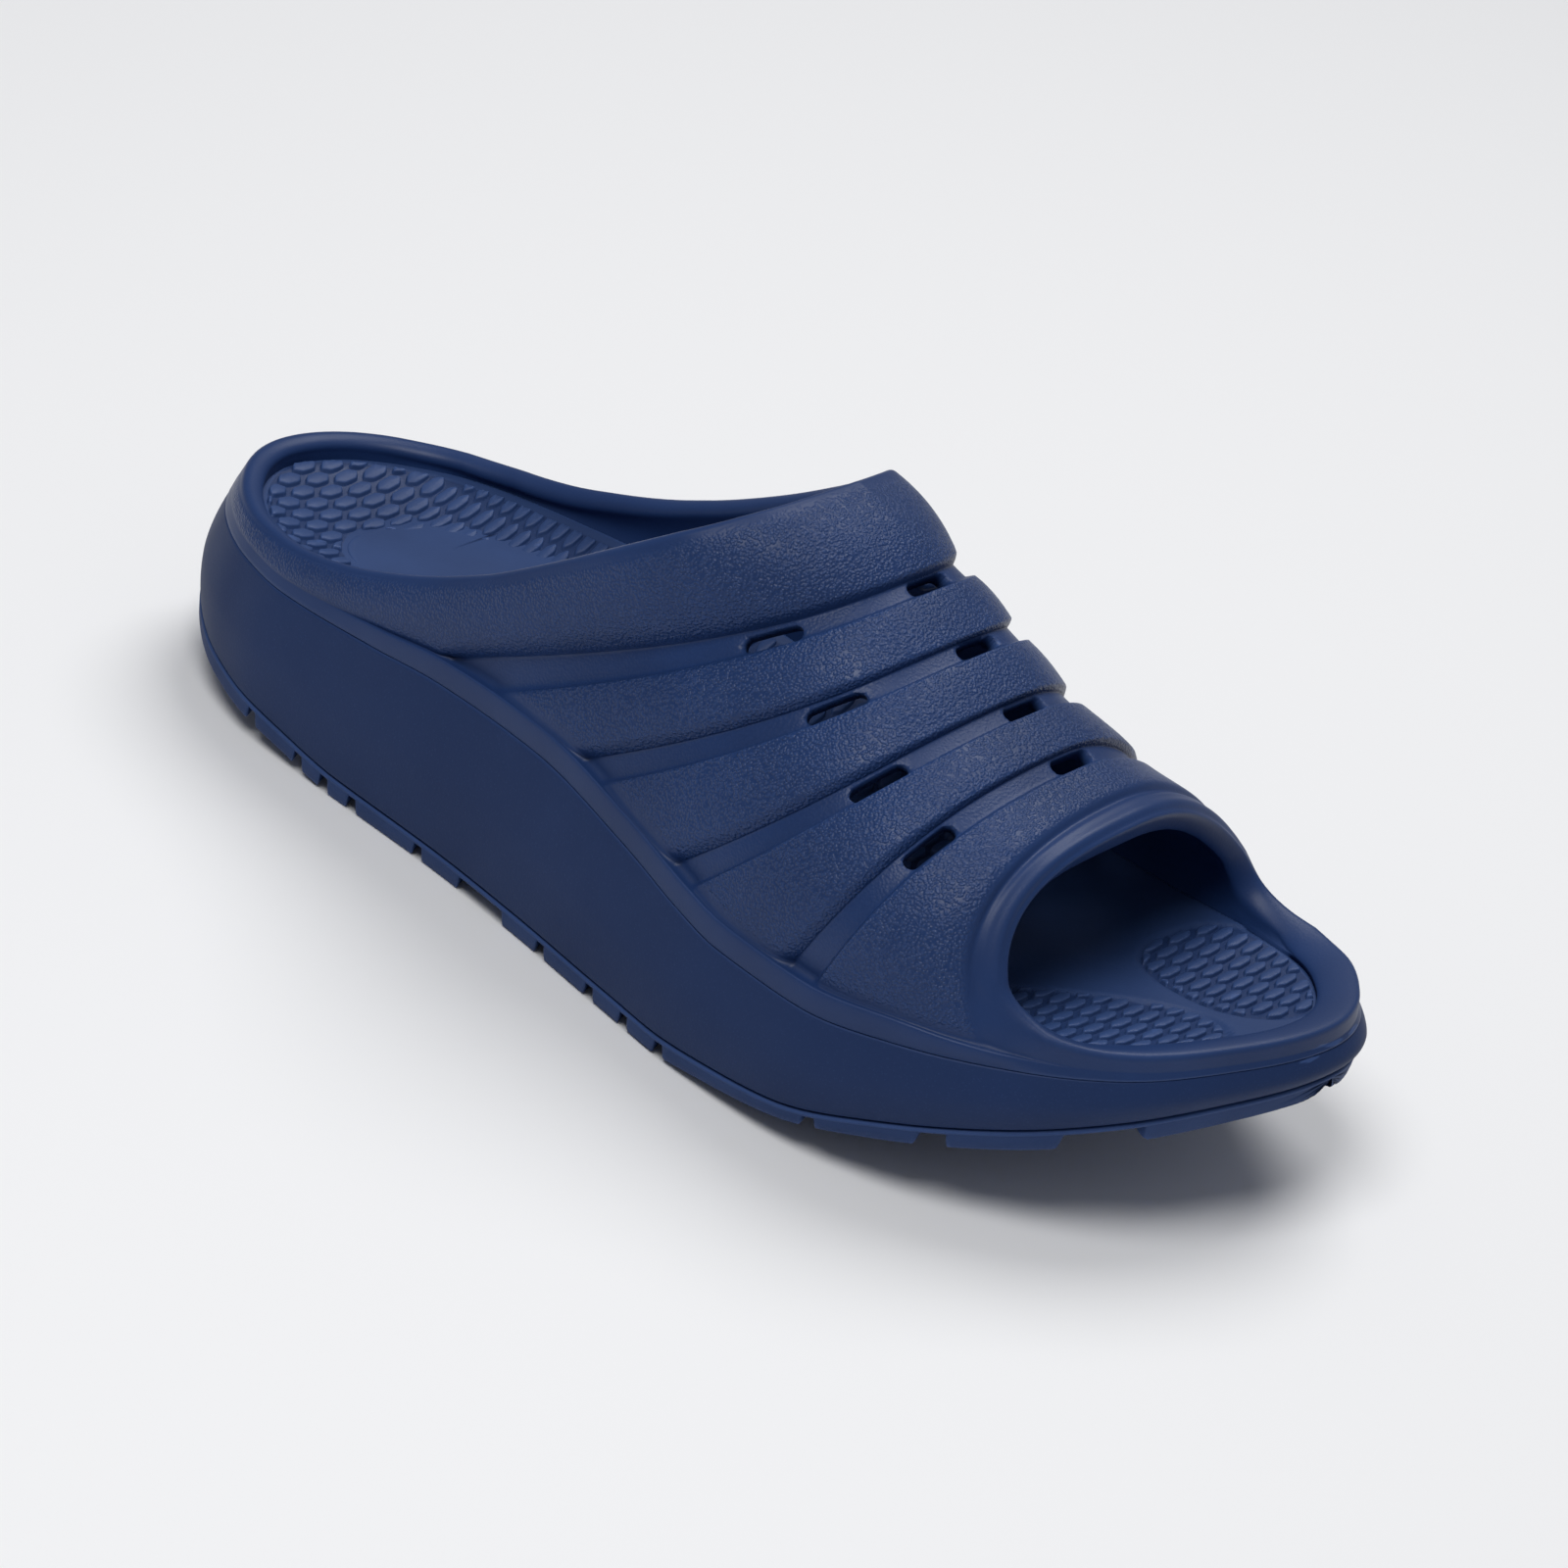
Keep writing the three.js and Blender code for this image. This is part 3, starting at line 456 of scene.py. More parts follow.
@dataclass
class Upper:
    """The one-piece foam upper: walls, banded instep with its slots, collar, toe rim and ledge.

    Lengths are in millimetres. A band's lines rise from the ledge, at share "base" of the
    length, to the crest over the instep.
    """

    last: Last
    full_wall_inset: float = 1.4
    end_wall_inset: float = 0.7
    ledge_grows: tuple[float, float] = (0.16, 0.31)
    ledge_fades: tuple[float, float] = (0.85, 0.92)
    rim_inset: float = 6.0
    seat_inset: float = 10.0
    rim_wall: float = 5.2
    line_gap: float = 0.12
    bed_gap: float = 0.04
    arch_wall: float = 5.0
    rim_round: float = 1.9
    opening_round: float = 0.9
    toe_round: float = 1.5
    toe_rim_width: float = 7.2
    toe_widens: float = 0.06
    toe_rim_slope: float = 0.1
    toe_rim_lean: float = 0.62
    soften_reach: tuple[float, float] = (9.0, 13.0)
    soften_rounds: int = 80
    trough_depth: float = 1.9
    trough_roll: float = 0.55
    trough_step: float = 0.8
    band_bulge: float = 0.7
    rear_bulge: float = 1.6
    slot_length: float = 13.0
    slot_width: float = 3.6
    slot_edge: float = 0.45
    crest_shift: float = 3.0
    crest_drift: tuple[float, float] = (0.55, 0.85)
    side_flare: float = 1.5
    toe_rim_inset: float = 3.0
    lateral_fullness: float = 0.68
    medial_fullness: float = 0.46
    flatter: tuple[float, float] = (0.4, 0.75)
    first_run: float = 0.8
    foot_blend: float = 0.35
    collar_turn: float = 0.6
    lip_width: float = 9.0
    lip_bead: float = 0.7
    lip_groove: float = 0.95
    join: float = 0.09
    rim_grain: float = 0.12
    rim_square: float = 2.2
    opening_square: float = 3.2
    grain_reach: float = 0.6
    # Where up the lines the grid is crowded: over the side slots, and from the crest's slots up.
    slot_shares: tuple[float, float] = (0.465, 0.6)
    crest_share: float = 0.915

    # Per line: its base, the share of the length at its top, its top's height and its bow.
    LINES: ClassVar = (
        (0.317, 0.612, 0.8975, 0.0),
        (0.376, 0.6255, 0.8808, 0.0),
        (0.469, 0.662, 0.8304, 0.0),
        (0.498, 0.6755, 0.8124, 0.0),
        (0.584, 0.71, 0.7638, 0.0),
        (0.61, 0.7235, 0.7478, 0.0),
        (0.709, 0.756, 0.7143, 0.0),
        (0.736, 0.771, 0.696, 0.0),
        (0.8, 0.798, 0.676, 0.004),
        (0.88, 0.825, 0.656, 0.026),
    )
    # Share along the collar, its station, spread, height on either side, and lean.
    COLLAR: ClassVar = (
        (0.0, 0.0, 1.0, 0.405, 0.405, 0.85),
        (0.1, 0.058, 1.0, 0.4, 0.41, 0.88),
        (0.2, 0.133, 1.0, 0.415, 0.43, 1.0),
        (0.3, 0.19, 1.0, 0.447, 0.459, 1.0),
        (0.4, 0.235, 1.0, 0.487, 0.495, 1.0),
        (0.5, 0.28, 1.0, 0.537, 0.538, 1.0),
        (0.6, 0.33, 1.0, 0.605, 0.597, 1.0),
        (0.7, 0.425, 0.95, 0.772, 0.741, 1.0),
        (0.8, 0.487, 0.8, 0.888, 0.86, 1.0),
        (0.9, 0.529, 0.43, 0.968, 0.962, 1.0),
        (1.0, 0.543, 0.0, 0.994, 0.994, 1.0),
    )
    # Base, station and height of the toe's rim on either side.
    TOE_RIM: ClassVar = (
        (0.88, 0.882, 0.395, 0.39),
        (0.92, 0.925, 0.383, 0.39),
        (0.96, 0.962, 0.387, 0.396),
        (1.0, 1.0, 0.4, 0.4),
    )
    # Rear and front edge of each trough, and how far up its line the side slot lies.
    TROUGHS: ClassVar = (
        (0.317, 0.376, 0.51),
        (0.469, 0.498, 0.54),
        (0.584, 0.61, 0.54),
        (0.709, 0.736, 0.54),
    )
    # How far the ledge's side is drawn in at shares of its height, from under it upwards.
    LEDGE: ClassVar = (
        (0.22, 0.0),
        (0.05, 0.025),
        (0.0, 0.1),
        (-0.14, 0.35),
        (-0.16, 0.6),
        (-0.08, 0.82),
        (0.02, 0.92),
        (0.12, 0.97),
        (0.3, 0.995),
        (0.6, 1.0),
    )

    def __post_init__(self) -> None:
        """Make the curves through the tables and the shares at which the grids have points."""
        self.line = curves("base along height bow", self.LINES)
        self.collar = curves("share along spread lateral medial lean", self.COLLAR)
        self.toe = curves("base along lateral medial", self.TOE_RIM)
        self.first, self.final = Patch.BANDS.value
        self.ups = self._ups()
        self.bases = self._bases()
        rear = round_stations(120)
        self.rear = np.append(rear[rear < self.first - 0.006], self.first)
        self.front = rear[rear > self.final + 0.006]
        self.round = np.concatenate([self.rear, self.bases[1:], self.front])
        risen = mix(self.collar_turn, 1.0, self.ups[1:])
        self.shares = np.concatenate([self.rear / self.first * self.collar_turn, risen])
        near_foot = [0, 0.005, 0.011, 0.019, 0.03, 0.045]
        self.walls = np.concatenate([near_foot, np.linspace(0.065, 1, 17)])

    def _ups(self) -> Array:
        """Return the shares up a band's line, crowded at the ledge and over the slots.

        Returns:
            The shares, rising.
        """
        knots = (0, self.join, *self.slot_shares, self.crest_share, 1)
        counts = (9, 22, 32, 19, 19)
        runs = [np.linspace(a, b, n) for a, b, n in zip(knots, knots[1:], counts)]
        return np.concatenate([runs[0], *(run[1:] for run in runs[1:])])

    def _bases(self) -> Array:
        """Return the base shares of the lines, crowded in the troughs and at the lip.

        Returns:
            The shares, rising.
        """
        parts: list[Array] = []
        inside = np.array([0, 0.1, 0.22, 0.36, 0.5, 0.64, 0.76, 0.84, 0.9, 0.95, 1.0])
        rolling = np.array([0.8, 0.6, 0.42, 0.28, 0.16, 0.07])
        lip_base = 0.775
        for i, (rear, front, _) in enumerate(self.TROUGHS):
            width = front - rear
            parts.append(rear + width * inside)
            is_last = i + 1 == len(self.TROUGHS)
            end = self.final if is_last else self.TROUGHS[i + 1][0]
            roll = 0 if is_last else self.trough_roll * (self.TROUGHS[i + 1][1] - end)
            count = 9 if is_last else 7
            stop = lip_base if is_last else end - roll
            parts.append(np.linspace(front + 0.12 * width, stop, count))
            if is_last:
                parts.append(np.linspace(stop, end, 30))
            else:
                parts.append(end - roll * rolling)
        return np.unique(np.round(np.concatenate(parts), 6))

    def crest(self, at: Array | float) -> Array:
        """Return how far to the inner side the crest lies."""
        start, end = self.crest_drift
        return self.crest_shift * smooth((at - start) / (end - start))

    def wall_inset(self, base: Array) -> Array:
        """Return how far behind the ledge's edge the wall's foot stands.

        Args:
            base: Shares of the length at which the lines start.

        Returns:
            The insets.
        """
        grown, faded = (
            smooth((np.asarray(base) - start) / (end - start))
            for start, end in (self.ledge_grows, self.ledge_fades)
        )
        return mix(self.end_wall_inset, self.full_wall_inset, grown * (1 - faded))

    def wall_foot(self, base: Array, side: Side) -> Array:
        """Return the foot of the wall, behind the ledge."""
        inset = self.last.tuck(base) + self.wall_inset(base)
        return self.last.outline(side, base, inset, self.last.height("ledge", base))

    def seat(self, base: Array, side: Side) -> Array:
        """Return the edge where the inner face meets the footbed."""
        height = self.last.bed_edge(base, side) + self.bed_gap
        return self.last.outline(side, base, self.seat_inset, height)

    def band_point(self, base: Array, side: Side, up: Array) -> Array:
        """Return points on the instep's face.

        Args:
            base: Shares of the length at which the lines start.
            side: The side of the foot.
            up: Shares of the way up each line.

        Returns:
            The points.
        """
        base, up = paired(base, up)
        foot = self.wall_foot(base, side)
        length = self.last.length
        along = self.line["along"](base)
        height = self.line["height"](base) * self.last.instep_height
        top = point(along * length, self.crest(along), height)
        start, end = self.flatter
        flatter = smooth((base - start) / (end - start)) if side is Side.MEDIAL else 0.0
        fullness = mix(self.lateral_fullness, self.medial_fullness, flatter)
        bow = self.line["bow"](base) * length
        rising = point(
            mix(foot[..., 0], top[..., 0], self.first_run) - bow,
            foot[..., 1] + side.value * self.side_flare,
            mix(foot[..., 2], top[..., 2], fullness),
        )
        arriving = point(top[..., 0], mix(top[..., 1], foot[..., 1], fullness), top[..., 2])
        t = column(up)
        s = 1 - t
        return s**3 * foot + 3 * s**2 * t * rising + 3 * s * t**2 * arriving + t**3 * top

    def collar_foot(self, share: Array, side: Side) -> Array:
        """Return the foot of the wall under the collar: the ledge, then the first trough's edge.

        Args:
            share: Shares along the collar.
            side: The side of the foot.

        Returns:
            The points.
        """
        turn = self.collar_turn
        low = self.wall_foot(np.clip(share / turn, 0, 1) * self.first, side)
        high = self.band_point(self.first, side, clamp01((share - turn) / (1 - turn)))
        return np.where(column(share) <= turn, low, high)

    def collar_top(self, share: Array, side: Side) -> Array:
        """Return the collar's outer edge.

        Args:
            share: Shares along the collar.
            side: The side of the foot.

        Returns:
            The points.
        """
        along = self.collar["along"](share)
        inset = self.collar["lean"](share) * self.rim_inset
        over = self.last.outline(side, along, inset, 0.0)
        spread = clamp01(self.collar["spread"](share))
        height = self.collar[side.key](share) * self.last.instep_height
        return point(over[..., 0], mix(self.crest(along), over[..., 1], spread), height)

    def collar_point(self, share: Array, side: Side, up: Array) -> Array:
        """Return points on the wall under the collar, which swells outwards in its middle.

        Args:
            share: Shares along the collar.
            side: The side of the foot.
            up: Shares up the wall.

        Returns:
            The points.
        """
        share, up = paired(share, up)
        foot, top = self.collar_foot(share, side), self.collar_top(share, side)
        ahead = self.collar_foot(clamp01(share + STEP), side)
        tangent = ahead - self.collar_foot(clamp01(share - STEP), side)
        tangent = self._square(tangent, (share <= 0) | (share >= 1))
        outwards = unit(np.cross(tangent, top - foot) * -side.value)
        rise = self.rear_bulge * smooth(share / self.collar_turn)
        return mix(foot, top, column(up)) + outwards * column(4 * rise * up * (1 - up))

    def toe_point(self, base: Array, side: Side, up: Array) -> Array:
        """Return points on the low wall round the toe.

        Args:
            base: Shares of the length at which the lines start.
            side: The side of the foot.
            up: Shares up the wall.

        Returns:
            The points.
        """
        base, up = paired(base, up)
        height = self.toe[side.key](base) * self.last.instep_height
        top = self.last.outline(side, self.toe["along"](base), self.toe_rim_inset, height)
        return mix(self.wall_foot(base, side), top, column(up))

    def face(self, patch: Patch, along: Array, side: Side, up: Array) -> Array:
        """Return points on one patch of the outer face.

        Args:
            patch: The patch.
            along: Shares along it.
            side: The side of the foot.
            up: Shares up it.

        Returns:
            The points.
        """
        makers = {
            Patch.COLLAR: self.collar_point,
            Patch.BANDS: self.band_point,
            Patch.TOE: self.toe_point,
        }
        return makers[patch](along, side, up)

    @staticmethod
    def _square(vectors: Array, on_middle: Array) -> Array:
        """Return the vectors, turned straight across the shoe where they lie on its middle.

        Args:
            vectors: Directions along the shoe's edges.
            on_middle: Where they lie on the middle.

        Returns:
            The directions.
        """
        across = np.zeros_like(vectors)
        across[..., 1] = np.sign(vectors[..., 1])
        return np.where(column(on_middle) > 0, across, vectors)

    def tangent(self, patch: Patch, along: Array, side: Side, up: Array) -> Array:
        """Return the way along a patch, not scaled, at given points.

        Args:
            patch: The patch.
            along: Shares along it.
            side: The side of the foot.
            up: Shares up it.

        Returns:
            The directions.
        """
        start, end = patch.value
        ahead = self.face(patch, np.minimum(along + STEP, end), side, up)
        return ahead - self.face(patch, np.maximum(along - STEP, start), side, up)

    def normal(self, patch: Patch, along: Array, side: Side, up: Array) -> Array:
        """Return the outward normals of a patch at given points.

        Args:
            patch: The patch.
            along: Shares along it.
            side: The side of the foot.
            up: Shares up it.

        Returns:
            The normals, of length 1.
        """
        along, up = paired(along, up)
        tangent = self.tangent(patch, along, side, up)
        above = self.face(patch, along, side, np.minimum(up + STEP, 1))
        rising = above - self.face(patch, along, side, np.maximum(up - STEP, 0))
        if patch is Patch.COLLAR:
            tangent = self._square(tangent, (along <= 0) | (along >= 1))
        if patch is Patch.TOE:
            tangent = self._square(tangent, along >= 1)
        if patch is Patch.BANDS:
            rising = self._square(rising, up >= 1)
        return unit(np.cross(tangent, rising) * -side.value)

    def inner(
        self,
        patch: Patch,
        along: Array,
        side: Side,
        up: Array,
        foot: Array,
        thickness: Callable[[Array], Array],
        fade: float,
    ) -> Array:
        """Return points on the inner face.

        Args:
            patch: The patch of the outer face that they lie behind.
            along: Shares along it.
            side: The side of the foot.
            up: Shares up it.
            foot: Where the inner face starts.
            thickness: The wall's thickness at a share up the patch.
            fade: The share of the way up over which the shift to the foot fades.

        Returns:
            The points.
        """

        def offset(share: Array) -> Array:
            """Return the outer face moved in by the wall's thickness."""
            outer = self.face(patch, along, side, share)
            return outer - self.normal(patch, along, side, share) * column(thickness(share))

        shift = foot - offset(np.zeros_like(up))
        return offset(up) + shift * column(1 - clamp01(up / fade))

    def band_inner(self, base: Array, side: Side, up: Array) -> Array:
        """Return points on the inner face under the bands.

        Args:
            base: Shares of the length at which the lines start.
            side: The side of the foot.
            up: Shares of the way up them.

        Returns:
            The points.
        """
        base, up = paired(base, up)

        def thickness(share: Array) -> Array:
            """Return the wall's thickness, which eases from the rim's to the instep's."""
            return mix(self.rim_wall, self.arch_wall, smooth(share / self.foot_blend))

        foot = self.seat(base, side)
        return self.inner(Patch.BANDS, base, side, up, foot, thickness, self.foot_blend)

    def collar_inner(self, share: Array, side: Side, up: Array) -> Array:
        """Return points on the inner face under the collar.

        Args:
            share: Shares along the collar.
            side: The side of the foot.
            up: Shares up the wall.

        Returns:
            The points.
        """
        share, up = paired(share, up)
        turn = self.collar_turn
        beyond = clamp01((share - turn) / (1 - turn))
        low = self.seat(np.clip(share / turn, 0, 1) * self.first, side)
        high = self.band_inner(self.first, side, beyond)
        foot = np.where(column(share) <= turn, low, high)
        wall = mix(self.rim_wall, self.arch_wall, smooth(beyond))
        return self.inner(Patch.COLLAR, share, side, up, foot, lambda _: wall, 1.0)

    def toe_inner(self, base: Array, side: Side, up: Array) -> Array:
        """Return points on the inner face of the toe's low wall.

        Args:
            base: Shares of the length at which the lines start.
            side: The side of the foot.
            up: Shares up the wall.

        Returns:
            The points.
        """
        base, up = paired(base, up)
        foot = self.seat(base, side)
        high = self.toe_point(base, side, np.ones_like(up))[..., 2]
        eased_in = smooth((base - self.final) / (self.ledge_fades[1] - self.final))
        slope = mix(1.0, self.toe_rim_slope, eased_in)
        widened = smooth((base - self.final) / self.toe_widens)
        inset = self.toe_rim_inset + mix(self.rim_wall, self.toe_rim_width, widened)
        height = mix(foot[..., 2], high, slope)
        end = self.last.outline(side, self.toe["along"](base), inset, height)
        return mix(foot, end, column(up))

    def crease(self, up: Array) -> Array:
        """Return how deep a trough's rear edge drops at a share up its line."""
        return self.trough_depth * mix(1.0, 0.8, smooth((up - 0.6) / 0.4))

    def trough(self, base: Array, up: Array) -> tuple[Array, Array]:
        """Return how deep the troughs are.

        The band behind rolls down into a sharp crease, the floor rises a little, and a step
        climbs to the next band's edge.

        Args:
            base: Base shares of the lines.
            up: Shares up them.

        Returns:
            The depth, and a mask that is 1 on the floors.
        """
        base, up = np.broadcast_arrays(base, up)
        depth, floor = np.zeros(base.shape), np.zeros(base.shape)
        for i, (rear, front, _) in enumerate(self.TROUGHS):
            share = (base - rear) / (front - rear)
            width = self.trough_roll * mix(1.0, 0.28, smooth(up))
            roll = clamp01(1 + share / width) ** mix(2.0, 1.5, up) if i else 0 * share
            climb = clamp01((share - self.trough_step) / (1 - self.trough_step))
            sharp = 1 - climb**2
            soft = 1 - smooth(climb)
            step = mix(sharp, soft, smooth((up - 0.55) / 0.4))
            inside = mix(1.0, 0.85, share) * step
            here = np.where(share < 0, roll, np.where(share <= 1, inside, 0.0))
            depth = np.maximum(depth, here)
            floor = np.maximum(floor, np.where((share > -0.02) & (share < 0.95), 1.0, 0.0))
        return depth * self.crease(up), floor

    def bulge(self, base: Array) -> Array:
        """Return how far a band stands out at a base share, 0 at its edges.

        Args:
            base: Shares of the length at which the lines start.

        Returns:
            The rises.
        """
        edges = [edge for rear, front, _ in self.TROUGHS for edge in (rear, front)]
        edges = [*edges[1:], self.final]
        rise = np.zeros(np.shape(base))
        for start, end in zip(edges[::2], edges[1::2]):
            share = clamp01((base - start) / (end - start))
            rise = rise + 4 * share * (1 - share)
        return rise * self.band_bulge

    def lip(self, distance: Array) -> Array:
        """Return the toe opening's lip: a soft bead, then a groove, by distance from the edge.

        Args:
            distance: How far behind the opening's edge points lie.

        Returns:
            How far they stand out.
        """
        share = distance / self.lip_width
        bead = np.exp(-(((share - 0.22) / 0.17) ** 2)) * smooth(share / 0.12)
        groove = np.exp(-(((share - 0.7) / 0.11) ** 2))
        return self.lip_bead * bead - self.lip_groove * groove

    def slot_frames(self, side: Side) -> list[tuple[Array, Array, Array, Array]]:
        """Return centre, direction, width direction and normal of one side's slots.

        Args:
            side: The side of the foot.

        Returns:
            The four vectors of each slot.
        """
        frames = []
        for rear, front, level in self.TROUGHS:
            base = np.array(mix(rear, front, 0.5))
            for up in (np.array(1.0), np.array(level)):
                centre = self.band_point(base, side, up)
                normal = self.normal(Patch.BANDS, base, side, up)
                ahead = self.band_point(base, side, np.minimum(up + STEP, 1))
                along = ahead - self.band_point(base, side, up - STEP)
                if up == 1:
                    along = np.array([0.0, 1.0, 0.0])
                along = unit(along - normal * (along @ normal))
                frames.append((centre, along, np.cross(normal, along), normal))
        return frames

    def slot_dip(self, points: Array, side: Side) -> Array:
        """Return how far the face is drawn in to round the slots' edges.

        Args:
            points: Points on the face.
            side: The side of the foot.

        Returns:
            The depths.
        """
        dip = np.zeros(points.shape[:-1])
        straight = (self.slot_length - self.slot_width) / 2
        for centre, along, beside, normal in self.slot_frames(side):
            away = points - centre
            run = np.abs(away @ along)
            past = np.hypot(np.maximum(run - straight, 0), away @ beside)
            edge = past - self.slot_width / 2
            near = np.abs(away @ normal) < self.slot_width
            held = np.clip(edge / self.slot_edge, 0, 1)
            here = self.slot_edge * (1 - np.sqrt(1 - (1 - held) ** 2))
            dip = np.maximum(dip, np.where(near, here, 0.0))
        return dip

    def bands(self, side: Side) -> tuple[Array, Array]:
        """Return the banded face of one side as points and their grain.

        Args:
            side: The side of the foot.

        Returns:
            The points and their grain.
        """
        base, up = self.bases[:, None], self.ups[None, :]
        points = self.band_point(base, side, up)
        normal = self.normal(Patch.BANDS, base, side, up)
        steps = np.linalg.norm(np.diff(points, axis=0), axis=-1)
        distance = np.zeros(points.shape[:2])
        distance[:-1] = np.cumsum(steps[::-1], axis=0)[::-1]
        depth, floor = self.trough(base, up)
        flat = mix(1.0, 0.3, smooth((up - 0.4) / 0.6))
        raised = self.bulge(base) * flat - depth
        raised = raised + self.lip(distance) * smooth(up / 0.02)
        raised = raised - self.slot_dip(points, side)
        grain = smooth((distance - 0.8 * self.lip_width) / 2.5) * mix(1.0, 0.2, floor)
        grain = grain * smooth((up - 0.01) / 0.03)
        return points + normal * column(raised), grain

    def collar_wall(self, side: Side, bands: Array) -> tuple[Array, Array]:
        """Return the wall under the collar on one side.

        Args:
            side: The side of the foot.
            bands: The banded face, whose first line the wall meets.

        Returns:
            The points and their grain.
        """
        turn = self.collar_turn
        share, up = self.shares[:, None], self.walls[None, :]
        points = self.collar_point(share, side, up)
        height = np.linalg.norm(points[:, -1:] - points[:, :1], axis=-1)
        beyond = clamp01((share - turn) / (1 - turn))
        roll = mix(5.0, 1.0, smooth(beyond))
        fall = clamp01(1 - up * height / roll) ** mix(2.0, 1.5, beyond)
        sunk = self.crease(beyond) * fall * smooth((share - turn + 0.012) / 0.012)
        points = points - self.normal(Patch.BANDS, self.first, side, beyond) * column(sunk)
        points[len(self.rear) - 1 :, 0] = bands[0]
        below_rim = smooth(((1 - up) * height - 0.6) / 1.6)
        forwards = mix(0.55, 1.0, smooth((points[..., 0] - 50) / 90))
        return points, below_rim * forwards * smooth(up * height / 1.5)

    def rim(
        self,
        outer: Array,
        inner: Array,
        edge: Array,
        away: Array,
        rise: Array,
        square: Array,
        lean: float = 1.0,
    ) -> Array:
        """Return rows of points over a rounded rim.

        Args:
            outer: The rim's outer edge.
            inner: Its inner edge.
            edge: The direction along the rim.
            away: Any direction that leaves the wall.
            rise: How far the rim's top stands past its edges.
            square: How square its section is, from 2 for round upwards.
            lean: Below 1 the rim is highest near its outer edge.

        Returns:
            Rows of points from the outer to the inner edge.
        """
        out = unit(np.cross(edge, inner - outer))
        out = out * np.where(column((out * away).sum(-1)) < 0, -1, 1)
        share = (1 - np.cos(np.pi * np.linspace(0, 1, 15))) / 2
        power = column(square)
        shape = (1 - np.abs(2 * share**lean - 1) ** power) ** (1 / power)
        swell = out[:, None] * column(shape * column(rise))
        return mix(outer[:, None], inner[:, None], share[None, :, None]) + swell

    def top_rim(self, patch: Patch, along: Array, side: Side, outer: Array, inner: Array) -> Array:
        """Return the rim over a patch's upper edge.

        Args:
            patch: The patch.
            along: Shares along it.
            side: The side of the foot.
            outer: The rim's outer edge.
            inner: Its inner edge.

        Returns:
            Rows of points over the rim.
        """
        one = np.ones_like(along)
        edge = self.tangent(patch, along, side, one)
        middle = along >= 1
        if patch is Patch.COLLAR:
            middle = middle | (along <= 0)
        edge = self._square(edge, middle)
        away = self.face(patch, along, side, one) - self.face(patch, along, side, one - STEP)
        is_toe = patch is Patch.TOE
        rise = self.toe_round if is_toe else self.rim_round
        lean = self.toe_rim_lean if is_toe else 1.0
        return self.rim(outer, inner, edge, away, rise * one, self.rim_square * one, lean)

    def opening_rim(self, side: Side, up: Array, outer: Array, inner: Array) -> Array:
        """Return the rim of the toe opening, along the last line of the bands.

        Args:
            side: The side of the foot.
            up: Shares of the way up them.
            outer: The rim's outer edge.
            inner: Its inner edge.

        Returns:
            Rows of points over the rim.
        """
        ahead = self.band_point(self.final, side, np.minimum(up + STEP, 1))
        edge = self._square(ahead - self.band_point(self.final, side, up - STEP), up >= 1)
        behind = self.band_point(self.final - STEP, side, up)
        away = self.band_point(self.final, side, up) - behind
        low = 1 - smooth((up - self.join) / 0.25)
        rise = mix(self.opening_round, self.toe_round, low)
        square = mix(self.opening_square, self.rim_square, low)
        return self.rim(outer, inner, edge, away, rise, square)

    def skirt(self, side: Side, edge: Array) -> Array:
        """Return the ledge's side round the whole shoe.

        Args:
            side: The side of the foot.
            edge: The lower edge of the faces behind the ledge.

        Returns:
            Rows of points from under the ledge to that edge.
        """
        base = self.round
        low = self.last.height("parting", base) + self.line_gap
        high = self.last.height("ledge", base)
        tuck = self.last.tuck(base)
        wall_inset = self.wall_inset(base)
        widened = self.full_wall_inset - self.end_wall_inset
        fade = 1 - smooth((wall_inset - self.end_wall_inset) / widened)
        rows = [self.seat(base, side)]
        rows[0][..., 2] = low
        for inset, level in self.LEDGE:
            straight = np.maximum(wall_inset * level**1.2, inset) if level > 0.1 else inset
            drawn = mix(inset, straight, fade)
            rows.append(self.last.outline(side, base, tuck + drawn, mix(low, high, level)))
        rows.append(edge)
        return np.stack(rows, axis=1)

    def build(self) -> bpy.types.Object:
        """Build the upper, cut its slots and return it.

        Returns:
            The upper.
        """
        shell = Shell(self.last)
        outer_points, outer_grain = [], []
        for side in Side:
            flip = side is Side.LATERAL
            bands, band_grain = self.bands(side)
            wall, wall_grain = self.collar_wall(side, bands)
            shell.grid(wall, flip, wall_grain)
            shell.grid(bands, flip, band_grain)
            outer_points += [wall.reshape(-1, 3), bands.reshape(-1, 3)]
            outer_grain += [wall_grain.reshape(-1), band_grain.reshape(-1)]
            wall_inner = self.collar_inner(self.shares[:, None], side, self.walls[None, :])
            band_inner = self.band_inner(self.bases[:, None], side, self.ups[None, :])
            shell.grid(wall_inner, not flip)
            shell.grid(band_inner, not flip)
            toe_foot = self._toe(shell, side, bands[-1], band_inner[-1])
            rim = self.top_rim(Patch.COLLAR, self.shares, side, wall[:, -1], wall_inner[:, -1])
            shell.grid(rim, flip, self.rim_grain)
            edge = np.concatenate([wall[: len(self.rear), 0], bands[1:, 0], toe_foot])
            skirt = self.skirt(side, edge)
            shell.grid(skirt, flip)
            under = np.stack([skirt[:, 0], self.seat(self.round, side)], axis=1)
            shell.grid(under, not flip)
        piece = new_object("foam_upper", shell.mesh("foam_upper"))
        self._soften(piece.data)
        self._cut_slots(piece)
        self._spread_grain(piece.data, np.concatenate(outer_points), np.concatenate(outer_grain))
        stand_for(piece, "upper")
        return piece

